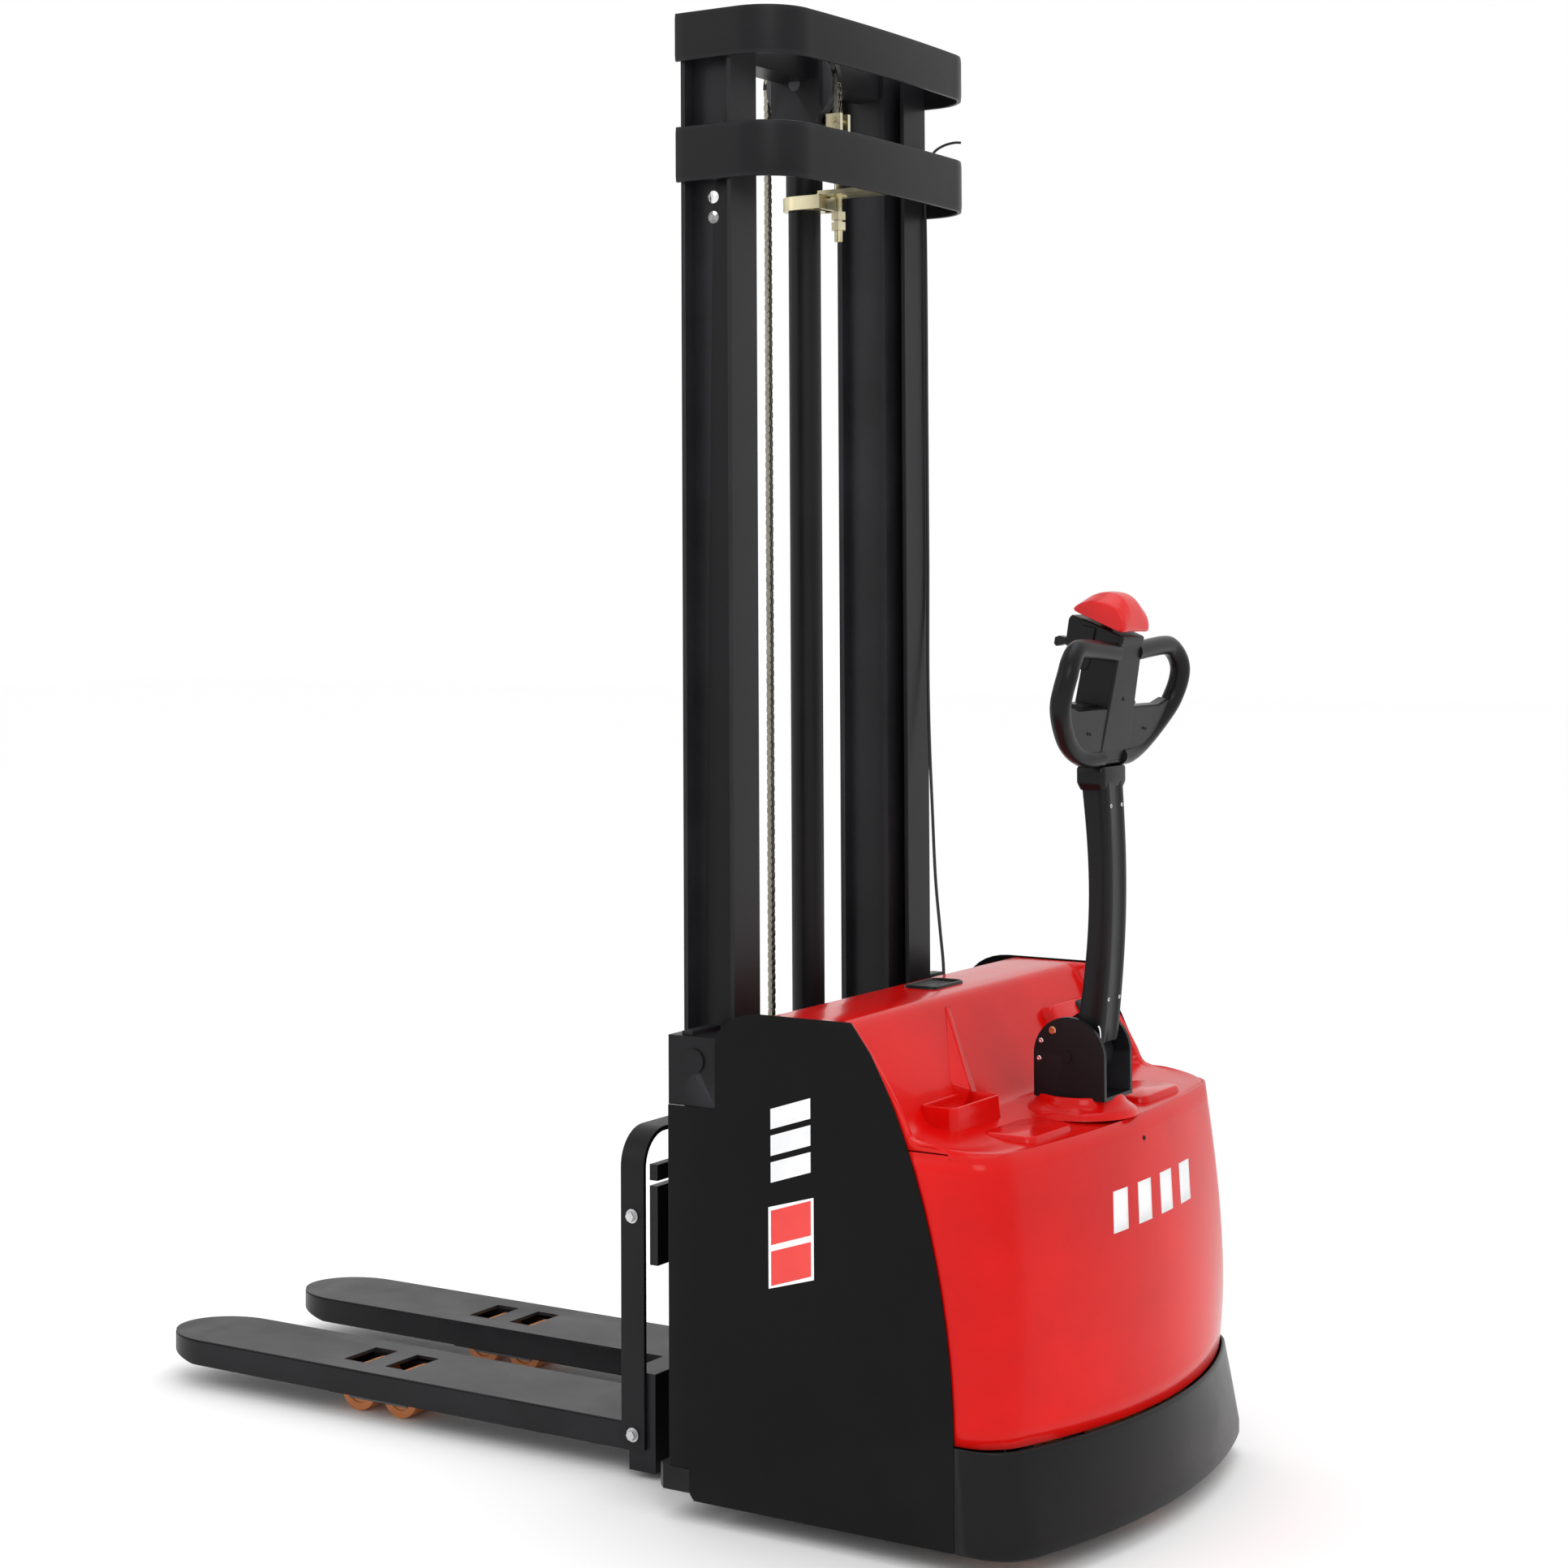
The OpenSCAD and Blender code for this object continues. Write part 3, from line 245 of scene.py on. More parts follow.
def add_piece(name, mesh_data, body, slot, material=None, bevel=0.0, solid=0.0, sharp=38, subdiv=0,
              place=None):
    """Makes an object from bmesh geometry in millimetres.

    It rides on its body. A piece with no body is left without a parent.
    """
    built = mesh_data
    if place is not None:
        built.transform(place)
    built.transform(Matrix.Scale(MM, 4))
    bmesh.ops.remove_doubles(built, verts=built.verts, dist=1e-6)
    bmesh.ops.recalc_face_normals(built, faces=built.faces)
    mesh = bpy.data.meshes.new(name)
    built.to_mesh(mesh)
    built.free()
    mesh.shade_smooth()
    mesh.set_sharp_from_angle(angle=math.radians(sharp))
    piece = bpy.data.objects.new(name, mesh)
    bpy.context.scene.collection.objects.link(piece)
    mesh.materials.append(MATERIALS[material or slot])
    if solid:
        shell = piece.modifiers.new("thickness", "SOLIDIFY")
        shell.thickness = solid * MM
        shell.offset = -1
    if bevel:
        edge = piece.modifiers.new("edges", "BEVEL")
        edge.width = bevel * MM
        edge.segments = 3
        edge.limit_method = "ANGLE"
        edge.angle_limit = math.radians(sharp)
        edge.harden_normals = True
    if subdiv:
        smooth = piece.modifiers.new("smooth", "SUBSURF")
        smooth.levels = subdiv
        smooth.render_levels = subdiv
    if body:
        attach(piece, body)
    return piece


def loft(rings, closed=True, caps=True):
    """Skin over rings of points that all have the same count."""
    made = bmesh.new()
    rows = [[made.verts.new(p) for p in ring] for ring in rings]
    count = len(rings[0])
    last = count if closed else count - 1
    for low, high in zip(rows, rows[1:]):
        for i in range(last):
            j = (i + 1) % count
            made.faces.new((low[i], low[j], high[j], high[i]))
    if caps and closed:
        made.faces.new(rows[0][::-1])
        made.faces.new(rows[-1])
    return made


def prism(outline, low, high, axis="y"):
    """Straight prism: outline is [x, z] for axis y, [y, z] for axis x and [x, y] for axis z."""
    order = {
        "x": lambda p, d: (d, p[0], p[1]),
        "y": lambda p, d: (p[0], d, p[1]),
        "z": lambda p, d: (p[0], p[1], d),
    }
    put = order[axis]
    return loft([[put(p, low) for p in outline], [put(p, high) for p in outline]])


def block(low, high):
    outline = [(low[0], low[1]), (high[0], low[1]), (high[0], high[1]), (low[0], high[1])]
    return prism(outline, low[2], high[2], "z")


def turned(profile, centre, axis="z", steps=48):
    """Lathe: profile is [radius, height] along the axis through centre, closed at both ends."""
    turn = {
        "x": Matrix.Rotation(math.pi / 2, 4, "Y"),
        "y": Matrix.Rotation(-math.pi / 2, 4, "X"),
        "z": Matrix.Identity(4),
    }
    rings = []
    for radius, height in profile:
        rings.append([
            (radius * math.cos(2 * math.pi * k / steps), radius * math.sin(2 * math.pi * k / steps), height)
            for k in range(steps)
        ])
    made = loft(rings)
    made.transform(Matrix.Translation(centre) @ turn[axis])
    return made


def swept(path, radius, sides=20, flat=1.0, up=(1, 0, 0)):
    """Tube along a path, its section an ellipse flattened across the up direction."""
    points = [Vector(p) for p in path]
    rings = []
    for i, point in enumerate(points):
        ahead = points[min(i + 1, len(points) - 1)] - points[max(i - 1, 0)]
        ahead.normalize()
        first = (Vector(up) - ahead * ahead.dot(Vector(up))).normalized()
        second = ahead.cross(first)
        size = radius(i / (len(points) - 1)) if callable(radius) else radius
        ring = []
        for k in range(sides):
            t = 2 * math.pi * k / sides
            ring.append(point + first * size * math.cos(t) + second * size * flat * math.sin(t))
        rings.append(ring)
    return loft(rings)


def smooth_path(points, steps=6):
    """Catmull-Rom curve through the points."""
    pts = [Vector(p) for p in points]
    pts = [pts[0] * 2 - pts[1]] + pts + [pts[-1] * 2 - pts[-2]]
    curve = []
    for a, b, c, d in zip(pts, pts[1:], pts[2:], pts[3:]):
        for k in range(steps):
            t = k / steps
            curve.append(0.5 * ((2 * b) + (c - a) * t + (2 * a - 5 * b + 4 * c - d) * t * t
                                + (3 * b - a - 3 * c + d) * t ** 3))
    curve.append(pts[-2])
    return curve


def merged(*parts):
    """One bmesh from several."""
    whole = bmesh.new()
    for part in parts:
        mesh = bpy.data.meshes.new("part")
        part.to_mesh(mesh)
        whole.from_mesh(mesh)
        part.free()
        bpy.data.meshes.remove(mesh)
    return whole


def hull(points):
    made = bmesh.new()
    for p in points:
        made.verts.new(p)
    bmesh.ops.convex_hull(made, input=made.verts)
    return made


def mirrored(part):
    """The same geometry on the other side of the truck."""
    copy = part.copy()
    copy.transform(Matrix.Scale(-1, 4, (0, 1, 0)))
    bmesh.ops.reverse_faces(copy, faces=copy.faces)
    return copy


def both_sides(part):
    return merged(mirrored(part), part)


def screw_head(x, y, z, radius, height, axis="y", direction=-1):
    """Pan head with a hexagon socket, its flat side towards the truck."""
    d = direction
    rings = [(radius, 0), (radius, d * height * 0.55), (radius * 0.82, d * height),
             (radius * 0.45, d * height), (radius * 0.42, d * height * 0.4), (0.01, d * height * 0.4)]
    return turned(rings, (x, y, z), axis, 24)


def smoothstep(low, high, value):
    t = max(0.0, min(1.0, (value - low) / (high - low)))
    return t * t * (3 - 2 * t)


def lerp(a, b, t):
    return a + (b - a) * t


# ---------------------------------------------------------------- covers

CORNER_R = 80
COVER_Z = (197, 636)
COVER_X = (984, 917)
COVER_ARC = (920, 2200)


def rear_edge(y, centre_x, arc, half_width, corner=CORNER_R):
    """x of the rounded rear outline at y."""
    inner = half_width - corner
    side = abs(y)
    base = centre_x - arc
    if side <= inner:
        return base + math.sqrt(arc * arc - side * side)
    corner_x = base + math.sqrt((arc - corner) ** 2 - inner * inner)
    across = min(corner, side - inner)
    return corner_x + math.sqrt(max(0.0, corner * corner - across * across))


def rear_outline(front, centre_x, arc, half_width, corner=CORNER_R, steps=12):
    """Points of the rear outline from one front edge round to the other."""
    inner = half_width - corner
    base = centre_x - arc
    corner_x = base + math.sqrt((arc - corner) ** 2 - inner * inner)
    start = math.atan2(inner, corner_x - base)
    points = [(front, -half_width), (lerp(front, corner_x, 0.5), -half_width)]
    for i in range(steps + 1):
        t = -math.pi / 2 + (math.pi / 2 - start) * i / steps
        points.append((corner_x + corner * math.cos(t), -inner + corner * math.sin(t)))
    for i in range(1, 3 * steps):
        t = -start + 2 * start * i / (3 * steps)
        points.append((base + arc * math.cos(t), arc * math.sin(t)))
    return points + [(x, -y) for x, y in points[steps + 2::-1]]


def cover_level(z):
    """Rearmost x and plan radius of the rear cover at a height."""
    k = (z - COVER_Z[0]) / (COVER_Z[1] - COVER_Z[0])
    return lerp(*COVER_X, k) + 5 * math.sin(math.pi * k), lerp(*COVER_ARC, k)


def deck_height(x):
    """The deck falls gently to the rear."""
    return 650 - 0.12 * (x - 735)


def hood_surface():
    """The hood as one moulded skin: ridge, recessed wall between two cheeks, and the deck."""
    columns = [-COVER_HW * math.sin(math.pi / 2 * (1 - 2 * j / 84)) for j in range(85)]
    rows = []
    inner = [(RIDGE_X0, 690), (RIDGE_X0, 760), (RIDGE_X0, 805), (RIDGE_X0 + 2, 813), (RIDGE_X0 + 7, 818.5),
             (RIDGE_X0 + 14, RIDGE_Z), (RIDGE_X0 + 50, RIDGE_Z), (RIDGE_X0 + 90, RIDGE_Z),
             (RIDGE_X1 - 18, RIDGE_Z),
             (RIDGE_X1 - 9, 818), (RIDGE_X1 - 2, 813), (RIDGE_X1 + 4, 805)]
    rim = [(x, z) for x, z in inner[:8]] + [(RIDGE_X1 + 4, RIDGE_Z), (RIDGE_X1 + 14, 818.5),
                                            (RIDGE_X1 + 20, 813), (RIDGE_X1 + 25, 805)]
    foot_in = (DECK_X0 - 17, 672)
    foot_rim = (DECK_X0 + 14, 674)
    for k in range(1, 11):
        t = k / 10
        inner.append((lerp(RIDGE_X1 + 4, foot_in[0], t), lerp(806, foot_in[1], t)))
        bow = 4 * math.sin(math.pi * t)
        rim.append((lerp(RIDGE_X1 + 25, foot_rim[0], t) + bow, lerp(806, foot_rim[1], t)))
    inner += [(DECK_X0 - 11, 661), (DECK_X0 - 2, 654), (DECK_X0 + 10, 651), (DECK_X0 + 24, 650)]
    rim += [(DECK_X0 + 18, 664), (DECK_X0 + 23, 656), (DECK_X0 + 29, 651), (DECK_X0 + 37, 649)]
    hem = 17
    stations = [(columns[0], hem)] + [(y, 0) for y in columns] + [(columns[-1], hem)]
    for y, drop in stations:
        side = smoothstep(COVER_HW - 28, COVER_HW - 13, abs(y))
        line = [(lerp(a[0], b[0], side), lerp(a[1], b[1], side)) for a, b in zip(inner, rim)]
        edge = rear_edge(y, COVER_X[1], COVER_ARC[1], COVER_HW)
        start = line[-1][0]
        for k in range(1, 9):
            x = lerp(start, edge - 14, k / 8)
            line.append((x, deck_height(x) + 2.5 * smoothstep(edge - 60, edge - 22, x)))
        top = line[-1][1]
        line += [(edge - 8, top - 1.2), (edge - 3, top - 4.5), (edge, top - 10), (edge + 1, top - 17)]
        rows.append([(x, y, min(z, 634) if drop and x > 700 else z - drop) for x, z in line])
    return loft(rows, closed=False, caps=False)


def rounded_rectangle(cx, cy, lx, ly, radius, steps=6):
    points = []
    for quarter, (sx, sy) in enumerate([(1, 1), (-1, 1), (-1, -1), (1, -1)]):
        for k in range(steps + 1):
            t = math.pi / 2 * (quarter + k / steps)
            points.append((cx + sx * (lx / 2 - radius) + radius * math.cos(t),
                           cy + sy * (ly / 2 - radius) + radius * math.sin(t)))
    return points


def ring_at(points, z):
    return [(x, y, z) for x, y in points]


def storage_tray():
    """Open moulded tray with drafted walls and a rounded rim."""
    cx, cy = 727, -230
    levels = [(72, 160, 14, 646), (68, 156, 13, 662), (66, 154, 12, 678), (64, 152, 11.5, 682),
              (60, 148, 10, 683),
              (56, 144, 9, 681), (53, 141, 8, 674), (48, 136, 7, 660), (42, 130, 6, 655)]
    return loft([ring_at(rounded_rectangle(cx, cy, lx, ly, r), z) for lx, ly, r, z in levels])


def wall_place(y, along, out):
    """Frame on the sloped wall: local z points out of the wall."""
    tilt = math.atan2(DECK_X0 - RIDGE_X1, HOOD_Z - DECK_Z)
    origin = Matrix.Translation((RIDGE_X1 + 46, y, HOOD_Z - 85))
    return origin @ Matrix.Rotation(math.pi / 2 - tilt, 4, "Y") @ Matrix.Translation((along, 0, out))


def plate(cx, cy, lx, ly, radius, z0, z1, soft=3):
    """Rounded plate with a softened top edge."""
    return loft([
        ring_at(rounded_rectangle(cx, cy, lx + soft, ly + soft, radius), z0),
        ring_at(rounded_rectangle(cx, cy, lx, ly, radius), z1 - soft),
        ring_at(rounded_rectangle(cx, cy, lx - soft * 0.6, ly - soft * 0.6, radius), z1 - soft * 0.35),
        ring_at(rounded_rectangle(cx, cy, lx - 2 * soft, ly - 2 * soft, radius - 1), z1),
    ])


def make_hood():
    hood = add_piece("hood_skin", hood_surface(), "chassis", "red_plastic", solid=4)
    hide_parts("hood")
    add_piece("hood_tray", storage_tray(), "chassis", "red_plastic")
    fin = hull([
        (RIDGE_X1 + 4, -92, 807), (RIDGE_X1 + 4, -80, 807), (683, -186, 700), (703, -124, 668),
        (715, -172, 690), (700, -182, 648), (706, -128, 648),
    ])
    add_piece("hood_fin", fin, "chassis", "red_plastic", bevel=2.5, sharp=20)
    socket = wall_place(265, 0, 0)
    add_piece("hood_boss", plate(12, 18, 88, 156, 16, -8, 15, 6), "chassis", "red_plastic", place=socket)
    collar = [(96, 643), (92, 651), (84, 656), (77, 661), (73, 667), (71.5, 673), (69.5, 675.5),
              (64, 675.5), (62, 673), (62, 645)]
    add_piece("hood_collar", turned(collar, (STEER_X, 0, -5)), "chassis", "red_plastic")
    dial = add_piece("instrument_plate", plate(12, 63, 78, 58, 9, 8, 18, 3), "chassis", "black_plastic",
                     place=socket)
    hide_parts("instrument_panel")
    for side, name in ((-1, "left"), (1, "right")):
        pad = plate(STEER_X + 8, side * 205, 92, 150, 20, 630, 645, 4)
        add_piece(f"deck_pad_{name}", pad, "chassis", "red_plastic")


def make_rear_cover():
    levels = 14
    rings = []
    for i in range(levels + 1):
        z = lerp(*COVER_Z, i / levels)
        outline = rear_outline(702, *cover_level(z), COVER_HW)
        rings.append(ring_at(outline, z))
    skin = loft(rings, closed=False, caps=False)
    cover = add_piece("rear_cover_skin", skin, "chassis", "red_plastic", solid=4)
    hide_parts("rear_cover")


def make_skirt():
    rings = []
    for z, centre, arc in [(36, 994, 1220), (40, 998, 1220), (60, 1000, 1180), (120, 996, 1060),
                           (186, 991, 955), (192, 990, 950), (195, 987, 947)]:
        rings.append(ring_at(rear_outline(819, centre, arc, HALF_W), z))
    skin = loft(rings, closed=False, caps=False)
    skirt = add_piece("skirt_skin", skin, "chassis", "black_plastic", solid=5)
    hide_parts("skirt")


def make_cover_screw():
    y, z = 34, 598
    x = rear_edge(y, *cover_level(z), COVER_HW)
    head = turned([(4, 0), (4, 1.2), (2.4, 1.6), (2.2, 0.4), (0.01, 0.4)], (x, y, z), "x", 20)
    add_piece("cover_screw", head, "chassis", "black_plastic")


def make_fittings():
    """Cable cover on the ridge, grommet in the ledge, and the clip and tie on the upright."""
    mouth = loft([ring_at(rounded_rectangle(535, 28, lx, ly, r), z) for lx, ly, r, z in [
        (64, 112, 15, 816), (64, 112, 15, 822), (61, 109, 14, 824.4), (56, 104, 12, 825),
        (52, 100, 11, 823.4), (50, 98, 10, 821.4), (48, 96, 9, 821)]])
    cover = add_piece("cable_mouth", mouth, "chassis", "black_plastic")
    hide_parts("cable_fittings")
    ring = [(4, 733), (9, 733), (9, 741), (13, 741), (13, 744), (10, 747), (5, 747), (4, 745)]
    add_piece("cable_grommet", turned(ring, (452, 210, 0)), "chassis", "rubber")
    clip = merged(block((MAST_X + 46, 309, 2250), (MAST_X + 59, 324, 2262)),
                  block((MAST_X + 46, 309, 2268), (MAST_X + 58, 323, 2276)))
    add_piece("cable_clip", clip, "chassis", "black_plastic", bevel=1.5)


# ---------------------------------------------------------------- printed marks


def make_marks():
    """Plain slanted bars in place of the printed marks."""
    x0, x1 = 492, 566
    for i, (z0, z1, tone) in enumerate([(398, 452, "print_red"), (462, 516, "print_red"),
                                        (560, 592, "print_white"), (602, 634, "print_white"),
                                        (644, 676, "print_white")]):
        for grow, depth, ink in ((5, 0.5, "print_white"), (0, 0.9, tone)):
            if tone == "print_white" and grow:
                continue
            outline = [(x0 - grow, z0 - grow), (x1 + grow, z0 + 24 - grow), (x1 + grow, z1 + 24 + grow),
                       (x0 - grow, z1 + grow)]
            for side in (-1, 1):
                edge = side * HALF_W
                low, high = sorted((edge - side * 0.4, edge + side * depth))
                name = f"mark_side_{'l' if side < 0 else 'r'}{i}_{ink}"
                add_piece(name, prism(outline, low, high), "chassis", "panel_black", ink)
    for i, y in enumerate((-120, -34, 52, 138)):
        rings = []
        for z, shift in ((474, 0), (506, 9), (536, 18)):
            centre, arc = cover_level(z)
            row = []
            for step in range(7):
                at = y + shift + step * 8
                row.append((rear_edge(at, centre + 0.7, arc, COVER_HW), at, z))
            rings.append(row)
        bar = loft(rings, closed=False, caps=False)
        add_piece(f"mark_rear_{i}", bar, "chassis", "red_plastic", "print_white", solid=0.8)


# ---------------------------------------------------------------- mast


def hoop_plan(x0, x_back, y_out, radius, bow=8, steps=20):
    """Outline of a band from one free end round the back to the other."""
    half = []
    for k in range(8):
        half.append((lerp(x0, x_back - bow - radius, k / 8), y_out))
    for k in range(steps + 1):
        t = math.pi / 2 * k / steps
        half.append((x_back - bow - radius + radius * math.sin(t), y_out - radius + radius * math.cos(t)))
    for k in range(1, 9):
        part = 1 - k / 9
        half.append((x_back - bow * part * part, (y_out - radius) * part))
    return half + [(x, -y) for x, y in half[::-1]]


def band(z0, z1, y_out):
    """Bent strip with rounded edges, the same height all round; the real one's back stands a little higher.
    """
    x0, x_back, radius, thick = MAST_X - 54, MAST_X + 166, 90, 9
    outer = hoop_plan(x0, x_back, y_out, radius)
    inner = hoop_plan(x0, x_back - thick, y_out - thick, radius - thick)
    section = [(0.0, 0.12), (0.0, 0.88), (0.12, 0.97), (0.3, 1.0), (0.7, 1.0), (0.88, 0.97),
               (1.0, 0.88), (1.0, 0.12),
               (0.88, 0.03), (0.7, 0.0), (0.3, 0.0), (0.12, 0.03)]
    rings = []
    for (ox, oy), (ix, iy) in zip(outer, inner):
        ring = []
        for across, up in section:
            ring.append((lerp(ox, ix, across), lerp(oy, iy, across), edge_height(z0, z1, up)))
        rings.append(ring)
    return loft(rings)


def edge_height(z0, z1, up):
    """Height on a band's section, with its rounded edges kept 3 mm deep."""
    if up < 0.1:
        return lerp(z0, z0 + 3, up * 10)
    if up > 0.9:
        return lerp(z1 - 3, z1, (up - 0.9) * 10)
    return lerp(z0, z1, up)


def leaf_chain(path, width=14, pitch=12.7, link=10):
    """Plates and pins of a leaf chain along a path."""
    points = [Vector(p) for p in path]
    length = [0.0]
    for a, b in zip(points, points[1:]):
        length.append(length[-1] + (b - a).length)
    count = int(length[-1] // pitch)
    parts = []

    def at(distance):
        for i in range(1, len(points)):
            if length[i] >= distance:
                t = (distance - length[i - 1]) / (length[i] - length[i - 1])
                return points[i - 1].lerp(points[i], t)
        return points[-1]

    for n in range(count):
        a, b = at(n * pitch), at((n + 1) * pitch)
        along = (b - a).normalized()
        side = Vector((0, 1, 0))
        out = along.cross(side)
        offsets = (-0.36, 0.12) if n % 2 else (-0.12, 0.36)
        for y in [o * width for o in offsets] + ([0.44 * width] if n % 2 else [-0.44 * width]):
            ring = []
            for k in range(10):
                t = 2 * math.pi * k / 10
                reach = 0.5 * pitch + 0.36 * link
                ring.append((a + b) / 2 + along * reach * math.cos(t) + out * link / 2 * math.sin(t) * 0.9)
            parts.append(loft([[p + side * (y - 0.9) for p in ring], [p + side * (y + 0.9) for p in ring]]))
        pin = []
        for k in range(8):
            t = 2 * math.pi * k / 8
            pin.append(a + out * 2.4 * math.cos(t) + along * 2.4 * math.sin(t))
        parts.append(loft([[p - side * width * 0.52 for p in pin], [p + side * width * 0.52 for p in pin]]))
    return merged(*parts)


def make_mast():
    top = add_piece("band_top", band(2382, 2463, MAST_Y + 11), "moving_mast", "black_paint")
    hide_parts("moving_mast_band")
    for side in (-1, 1):
        name = "left" if side < 0 else "right"
        low, high = sorted((side * (MAST_Y - 42), side * (MAST_Y + 1.5)))
        gusset = block((MAST_X - 46, low, 2435), (MAST_X + 56, high, 2457))
        add_piece(f"band_gusset_{name}", gusset, "moving_mast", "black_paint", bevel=2)
    second = add_piece("band_second", band(2179, 2272, MAST_Y + 10), "chassis", "black_paint")
    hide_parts("fixed_mast_band")
    anchor_x, load_x = PULLEY_X + CHAIN_R, PULLEY_X - CHAIN_R
    fixed = [(anchor_x, 0, z) for z in range(2316, PULLEY_Z + 1, 4)]
    strand = add_piece("chain_short", leaf_chain(fixed), None, "chain_steel")
    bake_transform(strand)
    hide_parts("chain_fixed_strand")
    arc = []
    for k in range(25):
        t = math.pi * k / 24
        arc.append((PULLEY_X + CHAIN_R * math.cos(t), 0, PULLEY_Z + CHAIN_R * math.sin(t)))
    add_piece("chain_arc", leaf_chain(arc), "moving_mast", "chain_steel")
    long_run = [(load_x, 0, PULLEY_Z - z) for z in range(0, 1813, 12)]
    strand = add_piece("chain_long", leaf_chain(long_run, width=12), None, "chain_steel")
    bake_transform(strand)
    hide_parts("chain_lift_strand")
    # countersunk screws on the near and far upright
    web = MAST_Y - 30
    screws = []
    for z in (2155, 2121):
        screws.append(screw_head(MAST_X - 5, web, z, 10.5, 3.4, "y", -1))
    add_piece("upright_screws", both_sides(merged(*screws)), "chassis", "rod_chrome", "steel_bright")


def hoop_line(inset):
    """Outline of the load guard's bent bar, in Y and Z, from foot to foot."""
    low, high = node_box("guard_hoop")
    half, top, radius = high[1] - inset, 584 - inset, 64 - inset
    right = [(half, low[2])]
    for k in range(13):
        t = math.pi / 2 * k / 12
        right.append((half - radius + radius * math.cos(t), top - radius + radius * math.sin(t)))
    return right + [(-y, z) for y, z in reversed(right)]


def make_guard():
    """The bent flat bar at the back of the forks."""
    low, high = node_box("guard_hoop")
    rings = []
    front, back = low[0] + 2, high[0]
    for (y0, z0), (y1, z1) in zip(hoop_line(0), hoop_line(8)):
        rings.append([(front, y0, z0), (back, y0, z0), (back, y1, z1), (front, y1, z1)])
    bar = add_piece("guard_bar", loft(rings), "carriage", "black_paint", bevel=1.2, sharp=50)
    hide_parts("guard_hoop")


def make_lead():
    """The lead clipped along the far upright, with the free tail of its tie."""
    route = [(53, 318, 2258), (54, 320, 2150), (54, 321, 2000), (54, 321, 1850), (54, 321, 1700),
             (54, 321, 1548),
             (55, 318, 1450), (60, 308, 1340), (70, 294, 1220), (85, 276, 1100), (105, 250, 980),
             (126, 228, 890),
             (139, 216, 830), (142, 212, 780), (142, 210, 738)]
    path = smooth_path([(MAST_X + x, y, z) for x, y, z in route])
    lead = add_piece("mast_lead", swept(path, 2.8, 12), "chassis", "rubber")
    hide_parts("mast_cable")
    tail = [(MAST_X + 52, 322, 2272), (MAST_X + 56, 333, 2290), (MAST_X + 66, 339, 2306),
            (MAST_X + 84, 342, 2315),
            (MAST_X + 104, 343, 2318), (MAST_X + 116, 344, 2317)]
    add_piece("lead_tail", swept(smooth_path(tail), 2.4, 10), "chassis", "rubber")


# ---------------------------------------------------------------- tiller


def arm_line(k):
    """Centre of the gently bowed arm, from the pin at 0 to the head at 1."""
    foot_z = TILT_Z + 22
    return TILT_X + 29 + 12 * k + 16 * math.sin(math.pi * k), lerp(foot_z, HEAD_Z, k)


def arm_section(cx, z, half_x, half_y, lean):
    """Rounded section with a shallow channel along each side."""
    shape = []
    for x, y in [(-1, -0.8), (-0.86, -1), (-0.5, -1), (-0.4, -0.93), (0.4, -0.93), (0.5, -1),
                 (0.86, -1), (1, -0.8),
                 (1, -0.5), (0.94, -0.42), (0.94, 0.42), (1, 0.5), (1, 0.8), (0.86, 1), (0.5, 1),
                 (0.4, 0.93),
                 (-0.4, 0.93), (-0.5, 1), (-0.86, 1), (-1, 0.8)]:
        shape.append((cx + x * half_x, y * half_y, z - lean * x * half_x))
    return shape


def make_arm():
    rings = []
    for i in range(25):
        k = i / 24
        x, z = arm_line(k)
        half = 24.5 - 4 * math.sin(math.pi * k)
        ahead = arm_line(min(1, k + 0.01))
        behind = arm_line(max(0, k - 0.01))
        lean = (ahead[0] - behind[0]) / (ahead[1] - behind[1]) if 0 < i < 24 else 0
        rings.append(arm_section(x, z, half, 34, lean))
    drum = [(0.01, -42), (36, -42), (40, -39), (40, 39), (36, 42), (0.01, 42)]
    boss = turned(drum, (TILT_X, 0, TILT_Z), "y")
    arm = add_piece("arm_tube", loft(rings), "tiller", "black_paint", bevel=1.5, sharp=50)
    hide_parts("tiller_arm")
    add_piece("arm_boss", boss, "tiller", "black_paint", sharp=40)
    neck = loft([ring_at(rounded_rectangle(HEAD_X - 38.5, 0, lx, ly, 9), z) for lx, ly, z in
                 [(46, 74, 1168), (50, 84, 1176), (51, 90, 1181), (51, 90, 1203), (48, 87, 1206)]])
    add_piece("arm_neck", neck, "tiller", "black_plastic")
    dots = []
    for k in (0.16, 0.86):
        x, z = arm_line(k)
        for y in (-20, 20):
            dots.append(screw_head(x + 23.4 - 4 * math.sin(math.pi * k), y, z, 3.6, 1.6, "x", 1))
    add_piece("arm_screws", merged(*dots), "tiller", "roller_steel", "steel_bright")


